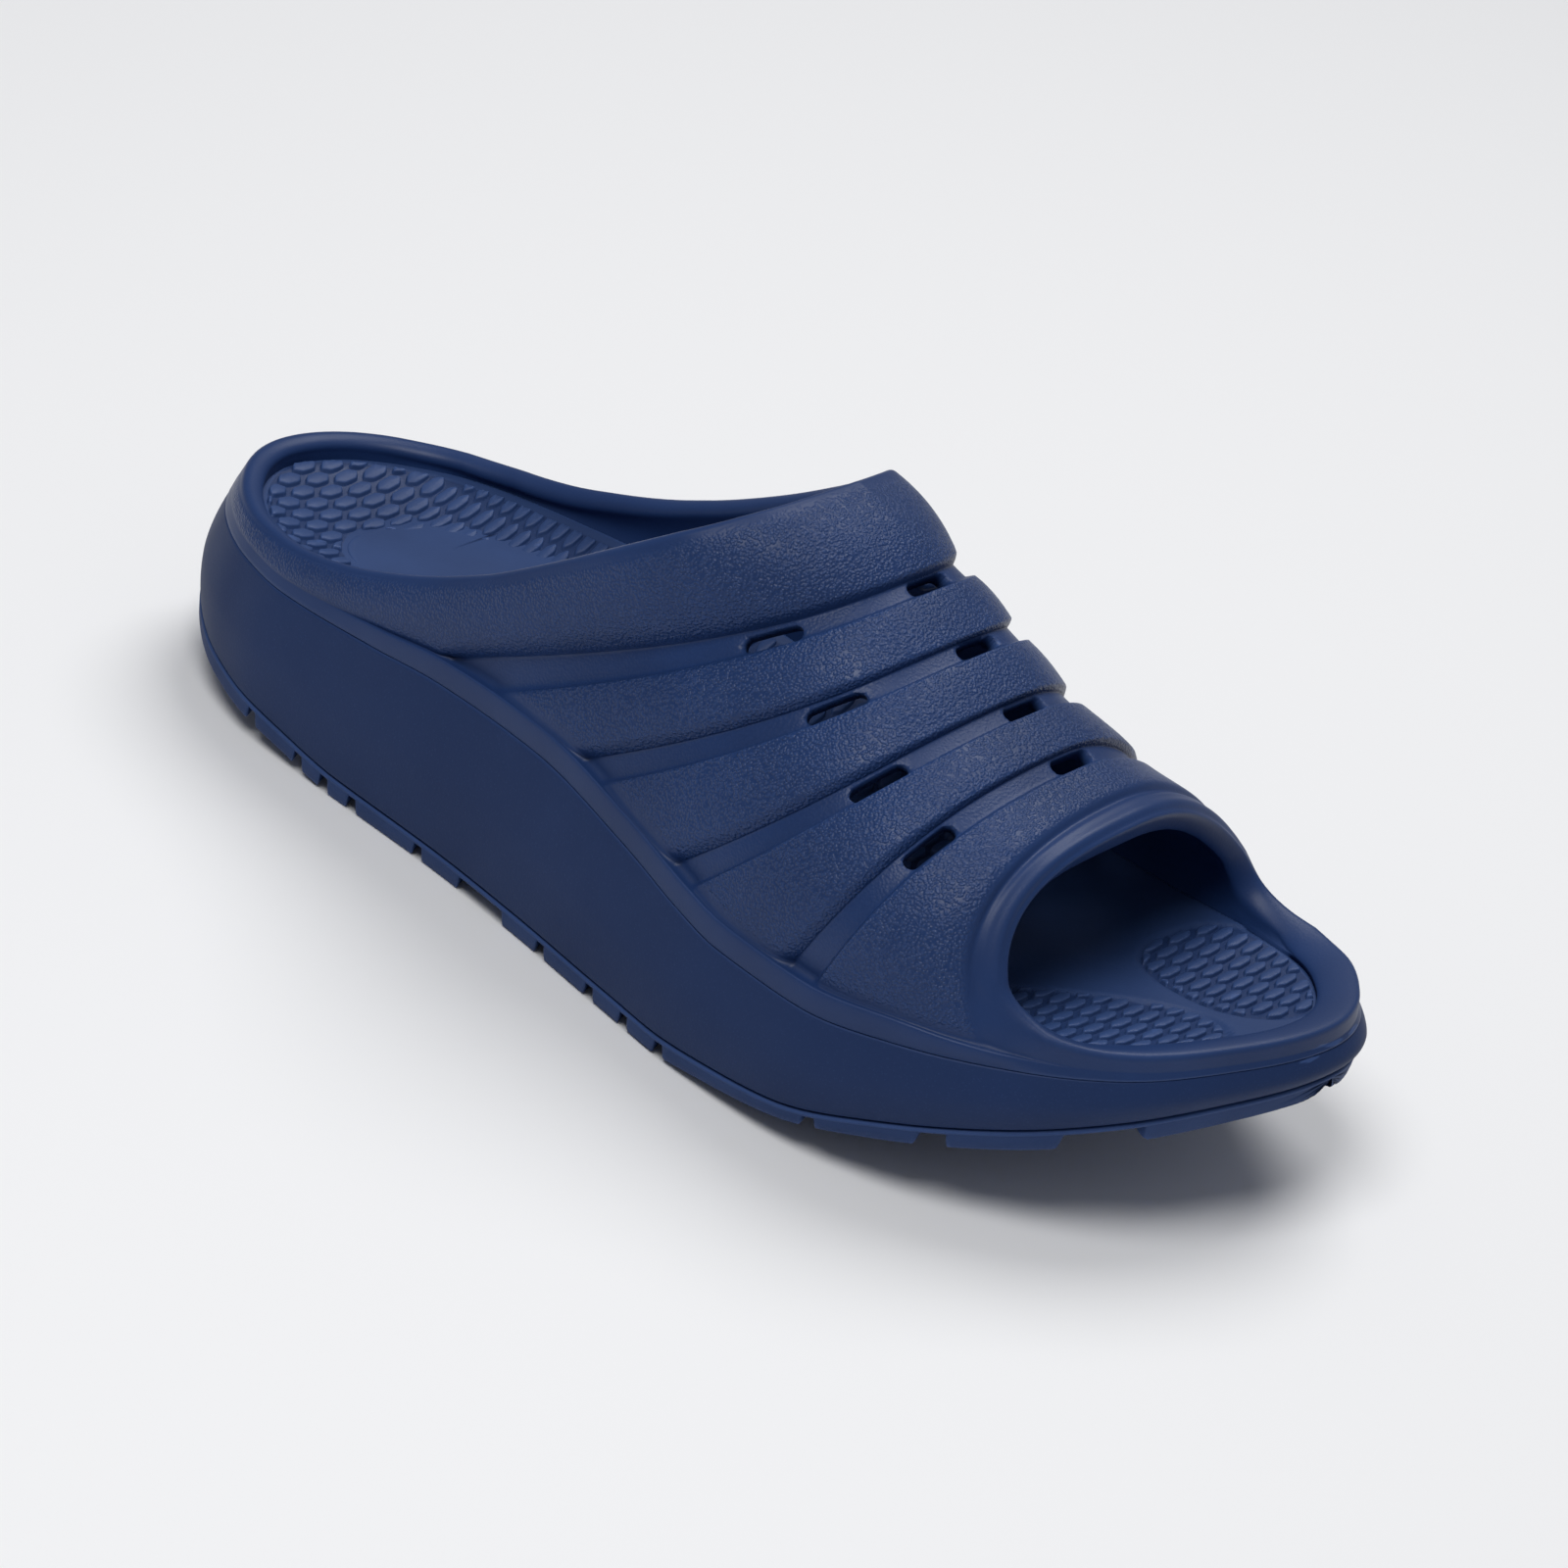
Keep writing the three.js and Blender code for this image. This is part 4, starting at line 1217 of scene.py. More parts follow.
    def _toe(self, shell: Shell, side: Side, edge_outer: Array, edge_inner: Array) -> Array:
        """Add the toe's low wall and the rim round the opening on one side.

        Args:
            shell: The surface to add them to.
            side: The side of the foot.
            edge_outer: The opening's edge on the outer face.
            edge_inner: The same on the inner face.

        Returns:
            The outer wall's lower edge.
        """
        flip = side is Side.LATERAL
        join = int(np.argmin(np.abs(self.ups - self.join)))
        up = np.linspace(0, 1, join + 1)[None, :]
        base = self.front[:, None]
        outer = np.concatenate([edge_outer[None, : join + 1], self.toe_point(base, side, up)])
        inner = np.concatenate([edge_inner[None, : join + 1], self.toe_inner(base, side, up)])
        shell.grid(outer, flip)
        shell.grid(inner, not flip)
        opening = self.opening_rim(side, self.ups[join:], edge_outer[join:], edge_inner[join:])
        low = self.top_rim(Patch.TOE, self.front, side, outer[1:, -1], inner[1:, -1])
        shell.grid(np.concatenate([opening[::-1], low]), flip)
        return outer[1:, 0]

    def _soften(self, mesh: bpy.types.Mesh) -> None:
        """Round the corners where the toe opening's edge runs out into the toe's rim.

        Args:
            mesh: The upper's mesh.
        """
        count = len(mesh.vertices)
        points, ends = np.empty(count * 3), np.empty(len(mesh.edges) * 2, int)
        mesh.vertices.foreach_get("co", points)
        mesh.edges.foreach_get("vertices", ends)
        points, ends = points.reshape(-1, 3), ends.reshape(-1, 2)
        held = np.zeros(count)
        for side, reach in zip(Side, self.soften_reach):
            corner = self.band_point(self.final, side, self.join) + self.last.shift
            away = np.linalg.norm(points - corner * MILLIMETRE, axis=1) / MILLIMETRE
            above = points[:, 2] / MILLIMETRE - self.last.bed_edge(self.final, side)
            held = np.maximum(held, smooth(1 - away / reach) * smooth((above - 0.8) / 3))
        links = np.bincount(ends.reshape(-1), minlength=count)[:, None]
        for _ in range(self.soften_rounds):
            total = np.zeros_like(points)
            np.add.at(total, ends[:, 0], points[ends[:, 1]])
            np.add.at(total, ends[:, 1], points[ends[:, 0]])
            points = points + (total / links - points) * 0.5 * held[:, None]
        mesh.vertices.foreach_set("co", points.reshape(-1))
        mesh.update()

    def _cut_slots(self, piece: bpy.types.Object) -> None:
        """Cut the slots through the piece.

        Args:
            piece: The upper.
        """
        radius, straight = self.slot_width / 2, (self.slot_length - self.slot_width) / 2
        angle = np.linspace(-np.pi / 2, np.pi / 2, 11)
        end = np.stack([straight + radius * np.cos(angle), radius * np.sin(angle)], axis=1)
        ring = np.concatenate([end, -end])
        cutter = Shell(self.last)
        for side in Side:
            for centre, along, beside, normal in self.slot_frames(side):
                on_middle = abs(along[1]) > 0.999
                if on_middle and side is Side.MEDIAL:
                    continue
                flat = centre + ring[:, :1] * along + ring[:, 1:] * beside
                loop = np.concatenate([flat, flat[:1]])
                reach = 2 * self.rim_wall
                rows = [centre + 0 * loop - reach * normal, loop - reach * normal]
                rows += [loop + reach * normal, centre + 0 * loop + reach * normal]
                cutter.grid(np.stack(rows))
        tool = new_object("slot_tool", cutter.mesh("slot_tool"))
        cut = piece.modifiers.new("slots", "BOOLEAN")
        cut.operation, cut.solver, cut.object = "DIFFERENCE", "EXACT", tool
        applied(piece)
        bpy.data.objects.remove(tool)

    def _spread_grain(self, mesh: bpy.types.Mesh, points: Array, grain: Array) -> None:
        """Give each point of a mesh the grain of the nearest point of the outer face.

        Args:
            mesh: The mesh.
            points: Points of the outer face.
            grain: Their grain.
        """
        placed = (points + self.last.shift) * MILLIMETRE
        tree = KDTree(len(placed))
        for i, where in enumerate(placed):
            tree.insert(where, i)
        tree.balance()
        values = np.zeros(len(mesh.vertices), np.float32)
        for vertex in mesh.vertices:
            _, i, distance = tree.find(vertex.co)
            values[vertex.index] = grain[i] if distance < self.grain_reach * MILLIMETRE else 0.0
        if "grain" in mesh.attributes:
            mesh.attributes.remove(mesh.attributes["grain"])
        mesh.attributes.new("grain", "FLOAT", "POINT").data.foreach_set("value", values)
        mesh.shade_smooth()


@dataclass
class Midsole:
    """The thick foam midsole, a rounded band between the outsole's seam and the parting line."""

    last: Last
    line_inset: float = 1.0
    belly: float = 0.42
    inner_inset: float = 10.3
    bed_thickness: float = 5.0
    corner: float = 0.25

    def build(self) -> bpy.types.Object:
        """Build the midsole and return it.

        Returns:
            The midsole.
        """
        at = round_stations(150)
        shell = Shell(self.last)
        low, high = self.last.height("seam", at), self.last.height("parting", at)
        tuck = self.last.tuck(at)
        levels = eased(22, 1.3)
        ends = []
        for side in Side:
            rows = [self.last.outline(side, at, self.line_inset + 2 * self.corner, low)]
            for level in levels:
                under = self.line_inset * clamp01((self.belly - level) / self.belly) ** 2.2
                over = tuck * clamp01((level - self.belly) / (1 - self.belly)) ** 1.5
                height = mix(low + 0.3, high - 0.12, level)
                rows.append(self.last.outline(side, at, under + over, height))
            rows.append(self.last.outline(side, at, tuck + self.corner, high))
            rows.append(self.last.outline(side, at, self.inner_inset, high))
            floor = self.last.bed_edge(at, side) - self.bed_thickness - self.last.gap
            rows.append(self.last.outline(side, at, self.inner_inset, floor))
            shell.grid(np.stack(rows), side is Side.MEDIAL)
            ends.append((rows[0], rows[-1]))
        (low_a, high_a), (low_b, high_b) = ends
        shell.grid(np.stack([low_a, mix(low_a, low_b, 0.5), low_b]))
        across = column(np.linspace(0, 1, 25)[:, None])
        top = mix(high_a, high_b, across)
        sunk = self.bed_thickness + self.last.gap
        inside = self.last.bed_face(at, across[..., 0]) - sunk
        top[1:-1, :, 2] = inside[1:-1]
        shell.grid(top, True)
        piece = new_object("foam_midsole", shell.mesh("foam_midsole"))
        stand_for(piece, "midsole")
        return piece


@dataclass
class Outsole:
    """The thin outsole plate with its rounded lugs, parted by swept grooves."""

    last: Last
    plate_inset: float = 0.9
    plate_thickness: float = 1.2
    lug_inset: float = 1.0
    taper: float = 1.5
    end_round: float = 0.9
    sweep: float = 9.0

    # Middle and width of each groove between the lugs along the outer edge.
    GROOVES: ClassVar = (
        (0.126, 0.007),
        (0.18, 0.007),
        (0.209, 0.007),
        (0.24, 0.007),
        (0.312, 0.007),
        (0.383, 0.048),
        (0.452, 0.007),
        (0.509, 0.007),
        (0.548, 0.007),
        (0.587, 0.007),
        (0.724, 0.008),
        (0.808, 0.016),
        (0.898, 0.036),
    )

    def plate(self, shell: Shell) -> None:
        """Add the plate under the midsole.

        Args:
            shell: The surface to add to.
        """
        at = round_stations(150)
        top = self.last.height("seam", at) - self.last.gap
        drop = self.plate_thickness
        rows = ((0.9, 0.0), (0.25, 0.08), (0.0, 0.4), (0.05, 0.75), (0.3, 1.0), (2.5, 1.0))
        rings = {
            side: [
                self.last.outline(side, at, self.plate_inset + inset, top - drop * level)
                for inset, level in rows
            ]
            for side in Side
        }
        for side in Side:
            shell.grid(np.stack(rings[side]), side is Side.LATERAL)
        for row, flip in ((0, True), (-1, False)):
            a, b = rings[Side.LATERAL][row], rings[Side.MEDIAL][row]
            shell.grid(np.stack([a, mix(a, b, 0.5), b]), flip)

    def lug(self, shell: Shell, rear: float, front: float) -> None:
        """Add one lug.

        Args:
            shell: The surface to add it to.
            rear: Where its rear edge meets the outline, in millimetres from the heel.
            front: Where its front edge does.
        """
        run = eased(30, 1.7)[:, None]
        wide = np.sign(np.linspace(-1, 1, 71)) * (1 - (1 - np.abs(np.linspace(-1, 1, 71))) ** 1.5)
        wide = wide[None, :]
        swept = self.sweep * (2 * np.abs(wide) - 1)
        length = self.last.length
        reach = length - self.lug_inset
        x = np.clip(mix(rear, front, run) + swept, self.lug_inset, reach)
        at, lateral, medial = self.last.edges(x, self.lug_inset)
        across = (wide + 1) / 2
        y = mix(lateral, medial, across)
        edge = np.minimum(across, 1 - across) * (medial - lateral)
        ends = np.minimum(run, 1 - run) * (front - rear)
        tips = np.minimum(x - self.lug_inset, reach - x)
        if rear <= 0 or front >= length:
            ends = np.where((run < 0.5) if rear <= 0 else (run > 0.5), tips, ends)
        rounded = 1.0
        for distance, size in ((edge, self.taper), (ends, self.end_round)):
            held = clamp01(distance / size)
            rounded = rounded * (1 - (1 - held) ** 2.4) ** 0.8
        top = self.last.height("seam", at) - self.last.gap - self.plate_thickness + 0.3
        ground = self.last.height("ground", at)
        shell.grid(point(x, y, mix(top, ground, rounded)), True)

    def build(self) -> bpy.types.Object:
        """Build the outsole and return it.

        Returns:
            The outsole.
        """
        shell = Shell(self.last)
        self.plate(shell)
        length = self.last.length
        edges = [0.0]
        for at, width in self.GROOVES:
            edges += [(at - width / 2) * length, (at + width / 2) * length]
        edges.append(length)
        for rear, front in zip(edges[::2], edges[1::2]):
            self.lug(shell, rear, front)
        piece = new_object("rubber_outsole", shell.mesh("rubber_outsole"))
        stand_for(piece, "outsole")
        return piece


@dataclass
class Footbed:
    """The footbed: a hollowed face with raised, six-sided massage pads."""

    last: Last
    inset: float = 10.05
    thickness: float = 5.0
    margin: float = 2.6
    row: float = 6.9
    pad_length: float = 7.9
    groove: float = 0.95
    pad_height: float = 0.95
    edge_drop: float = 0.1
    patch_depth: float = 0.6
    oval: tuple[float, float, float, float] = (48.5, -4.0, 12.5, 11.0)
    oval_rise: float = 0.45

    # Where each run of pads starts and stops, and their pitch along the shoe.
    RUNS: ClassVar = ((12.0, 36.0, 4.5), (36.4, 282.0, 3.75))
    # The two pad patches under the toes: middle x and y, half length, half width and turn.
    TOE_PATCHES: ClassVar = (
        (258.5, 25.5, 21.5, 17.0, -0.2),
        (252.0, -18.5, 29.0, 16.5, 0.62),
    )

    def across(self, x: Array, y: Array) -> tuple[Array, Array]:
        """Return station and share across of points on the footbed.

        Args:
            x: Distances from the back of the heel.
            y: Distances from the middle line.

        Returns:
            The stations, and the shares from the lateral to the medial edge.
        """
        at, lateral, medial = self.last.edges(x, self.inset)
        return at, (y - lateral) / np.maximum(medial - lateral, 1e-6)

    def edge_distance(self, x: Array, y: Array) -> Array:
        """Return about how far points lie inside the footbed's edge.

        Args:
            x: Distances from the back of the heel.
            y: Distances from the middle line.

        Returns:
            The distances.
        """
        at, share = self.across(x, y)
        width = sum(self.last.half_width(side, at) for side in Side)
        sideways = np.minimum(share, 1 - share) * width
        lengthways = np.minimum(x - self.inset, self.last.length - self.inset - x)
        slope = 1 + 60 / np.maximum(lengthways, 1.0) * 0.5
        return np.minimum(sideways, lengthways * slope)

    def patch_share(self, x: Array, y: Array, patch: tuple[float, ...]) -> Array:
        """Return how far points lie out from a toe patch's middle, 1 on its edge.

        Args:
            x: Distances from the back of the heel.
            y: Distances from the middle line.
            patch: The patch's sizes.

        Returns:
            The shares.
        """
        middle_x, middle_y, long, wide, turn = patch
        cos, sin = math.cos(turn), math.sin(turn)
        along = ((x - middle_x) * cos + (y - middle_y) * sin) / long
        beside = ((y - middle_y) * cos - (x - middle_x) * sin) / wide
        return (np.abs(along) ** 2.5 + np.abs(beside) ** 2.5) ** (1 / 2.5)

    def height(self, x: Array, y: Array) -> Array:
        """Return the height of the footbed's face under the pads.

        Args:
            x: Distances from the back of the heel.
            y: Distances from the middle line.

        Returns:
            The heights.
        """
        at, share = self.across(x, y)
        z = self.last.bed_face(at, clamp01(share))
        for patch in self.TOE_PATCHES:
            z = z - self.patch_depth * (1 - smooth((self.patch_share(x, y, patch) - 0.965) / 0.05))
        return z

    def padded(self, x: Array, y: Array) -> Array:
        """Return whether points lie where the pads are.

        Args:
            x: Distances from the back of the heel.
            y: Distances from the middle line.

        Returns:
            True for those that do.
        """
        middle_x, middle_y, long, wide = self.oval
        out = np.hypot((x - middle_x) / (long + 1.2), (y - middle_y) / (wide + 1.2)) > 1
        rear = (x < 205) & (self.edge_distance(x, y) > self.margin) & out
        toes = [self.patch_share(x, y, patch) < 0.955 for patch in self.TOE_PATCHES]
        inside = self.edge_distance(x, y) > 1.5
        return rear | ((toes[0] | toes[1]) & inside)

    def disc(self, shell: Shell) -> None:
        """Add the plain smooth disc in the heel.

        Args:
            shell: The surface to add to.
        """
        middle_x, middle_y, long, wide = self.oval
        angle = np.linspace(0, 2 * np.pi, 97)
        rows = []
        for drawn, rise in (
            (-0.2, -0.3),
            (0.0, 0.1),
            (0.15, 0.75),
            (0.4, 1.0),
            (2.0, 1.0),
            (5.0, 1.0),
            (8.0, 1.0),
            (11.0, 1.0),
        ):
            x = middle_x + (long - drawn) * np.cos(angle)
            y = middle_y + (wide - drawn * wide / long) * np.sin(angle)
            rows.append(point(x, y, self.height(x, y) + rise * self.oval_rise))
        shell.grid(np.stack(rows), True)

    def pads(self, shell: Shell) -> int:
        """Add the pads in staggered rows.

        Args:
            shell: The surface to add them to.

        Returns:
            How many pads there are.
        """
        shoulder = 0.52
        corners = np.array(
            [[0, 1], [1, shoulder], [1, -shoulder], [0, -1], [-1, -shoulder], [-1, shoulder]]
        )
        half_y = (self.pad_length - self.groove * 0.4) / 2
        count = step = 0
        for start, stop, pitch in self.RUNS:
            loop = self._rounded(corners * [(pitch - self.groove) / 2, half_y])
            for x in np.arange(start, stop, pitch / 2):
                step += 1
                for y in np.arange(-60.0, 60.0, 2 * self.row) + (step % 2) * self.row:
                    count += self._pad(shell, x, y, loop)
        return count

    @staticmethod
    def _rounded(corners: Array) -> Array:
        """Return a closed outline through the corners, each cut round.

        Args:
            corners: The corners in turn.

        Returns:
            The outline's points.
        """
        loop = []
        for i, corner in enumerate(corners):
            before, after = corners[i - 1], corners[(i + 1) % len(corners)]
            for share in (0.0, 0.5, 1.0):
                a, b = mix(corner, before, 0.24), mix(corner, after, 0.24)
                loop.append((1 - share) ** 2 * a + 2 * share * (1 - share) * corner + share**2 * b)
        return np.array(loop)

    def _pad(self, shell: Shell, x: float, y: float, loop: Array) -> int:
        """Add the part of one pad that lies in the padded area, and return 1 if any does.

        Args:
            shell: The surface to add to.
            x: The pad's middle along the shoe.
            y: The same across it.
            loop: The pad's outline about its middle.

        Returns:
            1 if any of the pad is added, otherwise 0.
        """
        plan = np.array([x, y]) + loop
        inside = self.padded(plan[:, 0], plan[:, 1])
        if inside.sum() < 0.3 * len(plan):
            return 0
        centre = plan[inside].mean(axis=0)
        if not self.padded(*centre):
            return 0
        for _ in range(16):
            outside = ~self.padded(plan[:, 0], plan[:, 1])
            if not outside.any():
                break
            plan[outside] = mix(plan[outside], centre, 0.12)
        plan = np.concatenate([plan, plan[:1]])
        away = plan - centre
        size = np.maximum(np.linalg.norm(away, axis=1, keepdims=True), 1e-6)
        rows = []
        for drawn, rise in ((-0.25, -0.2), (0.0, 0.08), (0.14, 0.6), (0.3, 0.9), (0.55, 1.0)):
            ring = centre + away * np.maximum(1 - drawn / size, 0.15)
            z = self.height(ring[:, 0], ring[:, 1]) + rise * self.pad_height
            rows.append(point(ring[:, 0], ring[:, 1], z))
        top = self.height(*centre) + self.pad_height * 1.03
        rows.append(point(np.full(len(plan), centre[0]), np.full(len(plan), centre[1]), top))
        shell.grid(np.stack(rows), True)
        return 1

    def build(self) -> bpy.types.Object:
        """Build the footbed with its pads and return it.

        Returns:
            The footbed.
        """
        at = np.unique(np.concatenate([round_stations(120), np.linspace(0, 1, 280)]))
        across = eased(110, 1.15)[:, None]
        shell = Shell(self.last)
        edges = {side: self.last.outline(side, at, self.inset, 0.0) for side in Side}
        face = mix(edges[Side.LATERAL], edges[Side.MEDIAL], column(across))
        face[..., 2] = self.height(face[..., 0], face[..., 1])
        width = np.abs(edges[Side.MEDIAL][:, 1] - edges[Side.LATERAL][:, 1])
        edge = np.minimum(across, 1 - across) * width
        tip = np.minimum(at, 1 - at) * self.last.length
        slope = np.maximum(1 - np.minimum(edge, tip) / 1.2, 0)
        face[..., 2] -= self.edge_drop * slope**2
        # The padded ground is written as the grain value. The footbed's finish darkens it as
        # painted shade in the grooves between the pads.
        shell.grid(face, True, self.padded(face[..., 0], face[..., 1]).astype(float))
        floor = face.copy()
        for row, side in ((0, Side.LATERAL), (-1, Side.MEDIAL)):
            floor[row, :, 2] = self.last.bed_edge(at, side) - self.thickness
        ground = mix(floor[0], floor[-1], column(across))
        shell.grid(ground[::22])
        for row, flip in ((0, False), (-1, True)):
            shell.grid(np.stack([face[row], ground[row]]), flip)
        self.disc(shell)
        count = self.pads(shell)
        log.info("footbed pads: %d", count)
        piece = new_object("foam_footbed", shell.mesh("foam_footbed"))
        stand_for(piece, "footbed")
        return piece


Socket = bpy.types.NodeSocket


class Sheet:
    """Lays out the nodes of one tree, wired by plain calls."""

    def __init__(self, tree: bpy.types.NodeTree) -> None:
        """Start on a tree, emptied."""
        self.tree = tree
        tree.nodes.clear()
        self.column = 0

    def node(self, kind: str, **values: object) -> bpy.types.Node:
        """Add a node.

        Args:
            kind: The node's type, without its "ShaderNode" start.
            **values: Properties of the node.

        Returns:
            The node.
        """
        made = self.tree.nodes.new(kind if kind.startswith("Node") else "ShaderNode" + kind)
        made.location = (self.column * 190, 0)
        self.column += 1
        for name, value in values.items():
            setattr(made, name, value)
        return made

    def feed(self, socket: Socket, value: object) -> None:
        """Link a socket to another, or set its value.

        Args:
            socket: The socket.
            value: Another socket, or a number or colour.
        """
        if isinstance(value, bpy.types.NodeSocket):
            self.tree.links.new(value, socket)
        else:
            socket.default_value = value

    def math(self, operation: str, *values: object) -> Socket:
        """Return the result of a maths node over sockets or numbers.

        Args:
            operation: The node's operation.
            *values: Its inputs in turn.

        Returns:
            The result.
        """
        made = self.node("Math", operation=operation)
        for socket, value in zip(made.inputs, values):
            self.feed(socket, value)
        return made.outputs[0]

    def spread(
        self, value: Socket, low: float, high: float, start: float = 0.0, end: float = 1.0
    ) -> Socket:
        """Carry a value from one range to another, with eased ends.

        Args:
            value: The value.
            low: The least value of the range that it comes from.
            high: The greatest.
            start: What low becomes.
            end: What high becomes.

        Returns:
            The carried value.
        """
        made = self.node("MapRange", interpolation_type="SMOOTHSTEP")
        names = ("Value", "From Min", "From Max", "To Min", "To Max")
        for name, given in zip(names, (value, low, high, start, end)):
            self.feed(made.inputs[name], given)
        return made.outputs["Result"]

    def texture(self, kind: str, place: Socket, scale: object, **values: object) -> bpy.types.Node:
        """Add a texture node.

        Args:
            kind: The node's type, without its start.
            place: The coordinates.
            scale: How fine the texture is.
            **values: Properties of the node, and numbers for its inputs by capitalised name.

        Returns:
            The node.
        """
        settings = {name: value for name, value in values.items() if name.islower()}
        made = self.node("Tex" + kind, **settings)
        inputs = {name: value for name, value in values.items() if name not in settings}
        for name, value in {"Vector": place, "Scale": scale, **inputs}.items():
            self.feed(made.inputs[name], value)
        return made

    def vector(self, operation: str, *values: object) -> Socket:
        """Return the result of a vector maths node; a number is a scale.

        Args:
            operation: The node's operation.
            *values: Its inputs; the second of SCALE is a number.

        Returns:
            The result.
        """
        made = self.node("VectorMath", operation=operation)
        names = (0, "Scale" if operation == "SCALE" else 1)
        for name, value in zip(names, values):
            self.feed(made.inputs[name], value)
        return made.outputs["Vector"]

    def blend(self, factor: object, a: object, b: object) -> Socket:
        """Return a colour a share of the way from one to another.

        Args:
            factor: The share.
            a: The first colour.
            b: The second.

        Returns:
            The colour.
        """
        made = self.node("Mix", data_type="RGBA")
        self.feed(made.inputs["Factor"], factor)
        self.feed(made.inputs["A"], a)
        self.feed(made.inputs["B"], b)
        return made.outputs["Result"]

    def place(self) -> Socket:
        """Return the object's own coordinates."""
        return self.node("TexCoord").outputs["Object"]


def group(
    name: str, inputs: dict[str, float], outputs: tuple[str, ...]
) -> tuple[Sheet, bpy.types.Node, bpy.types.Node]:
    """Start a shader node group of plain values.

    Args:
        name: The group's name.
        inputs: Its inputs, each with its usual value.
        outputs: Its outputs.

    Returns:
        The sheet to lay it out on, and its input and output nodes.
    """
    tree = bpy.data.node_groups.new(name, "ShaderNodeTree")
    for label, value in inputs.items():
        made = tree.interface.new_socket(label, in_out="INPUT", socket_type="NodeSocketFloat")
        made.default_value = value
    for label in outputs:
        tree.interface.new_socket(label, in_out="OUTPUT", socket_type="NodeSocketFloat")
    sheet = Sheet(tree)
    return sheet, sheet.node("NodeGroupInput"), sheet.node("NodeGroupOutput")


def leather_grain() -> bpy.types.NodeTree:
    """Make the moulded leather grain: short worm-like ridges that run into one another.

    Returns:
        A group that gives a height from 0 to 1 for a cell size in metres.
    """
    inputs, outputs = {"Size": 0.0007, "Wander": 0.6}, ("Height", "Pits", "Ridges")
    sheet, given, taken = group("leather_grain", inputs, outputs)
    size, place = given.outputs["Size"], sheet.place()
    scale = sheet.math("DIVIDE", 1.0, size)
    slow_scale = sheet.math("MULTIPLY", scale, 0.55)
    warp = sheet.texture("Noise", place, slow_scale, Detail=1.5).outputs["Color"]
    shift = sheet.vector("SUBTRACT", warp, (0.5, 0.5, 0.5))
    reach = sheet.math("MULTIPLY", size, given.outputs["Wander"])
    moved = sheet.vector("ADD", place, sheet.vector("SCALE", shift, reach))
    ridge_scale = sheet.math("MULTIPLY", scale, 0.75)
    ridged = {"noise_type": "RIDGED_MULTIFRACTAL", "Detail": 0.4}
    ridges = sheet.texture("Noise", moved, ridge_scale, **ridged)
    cells = sheet.texture("Voronoi", moved, scale, feature="SMOOTH_F1", Smoothness=0.5)
    humps = sheet.spread(cells.outputs["Distance"], 0.15, 0.75, 1.0, 0.0)
    worms = sheet.spread(ridges.outputs["Fac"], 0.5, 1.6)
    raised, sunk = sheet.math("MULTIPLY", humps, 0.45), sheet.math("MULTIPLY", worms, -0.55)
    height = sheet.math("ADD", sheet.math("ADD", raised, sunk), 0.55)
    sheet.feed(taken.inputs["Height"], height)
    sheet.feed(taken.inputs["Pits"], sheet.spread(height, 0.15, 0.55, 1.0, 0.0))
    sheet.feed(taken.inputs["Ridges"], sheet.spread(height, 0.6, 0.95))
    return sheet.tree


def fine_speckle() -> bpy.types.NodeTree:
    """Make the fine speckle of bare moulded foam.

    Returns:
        A group that gives a height, a fleck mask and a slow mottle.
    """
    inputs, outputs = {"Size": 0.0005, "Drift": 0.03}, ("Height", "Flecks", "Mottle")
    sheet, given, taken = group("fine_speckle", inputs, outputs)
    size, drift, place = given.outputs["Size"], given.outputs["Drift"], sheet.place()
    fine = sheet.texture("Noise", place, sheet.math("DIVIDE", 1.0, size), Detail=2.0)
    flecks = sheet.texture("Voronoi", place, sheet.math("DIVIDE", 0.8, size))
    slow = sheet.texture("Noise", place, sheet.math("DIVIDE", 1.0, drift), Detail=3.0)
    sheet.feed(taken.inputs["Height"], fine.outputs["Fac"])
    specks = sheet.spread(flecks.outputs["Distance"], 0.05, 0.3, 1.0, 0.0)
    sheet.feed(taken.inputs["Flecks"], specks)
    sheet.feed(taken.inputs["Mottle"], sheet.spread(slow.outputs["Fac"], 0.3, 0.7))
    return sheet.tree


def edge_highlight_and_crease_shade() -> bpy.types.NodeTree:
    """Make the painted highlight along sharp edges and the painted shade in creases.

    Returns:
        A group that gives a mask of the edges and one of the creases.
    """
    sheet, given, taken = group("edge_highlight_and_crease_shade", {"Edge": 0.515, "Crease": 0.47}, ("Edges", "Creases"))
    bend = sheet.node("NewGeometry").outputs["Pointiness"]
    sharpness = 14.0
    over = sheet.math("SUBTRACT", bend, given.outputs["Edge"])
    under = sheet.math("SUBTRACT", given.outputs["Crease"], bend)
    for name, value in (("Edges", over), ("Creases", under)):
        mask = sheet.math("MULTIPLY", value, sharpness)
        sheet.feed(taken.inputs[name], sheet.spread(mask, 0.0, 1.0))
    return sheet.tree


Colour = tuple[float, float, float, float]


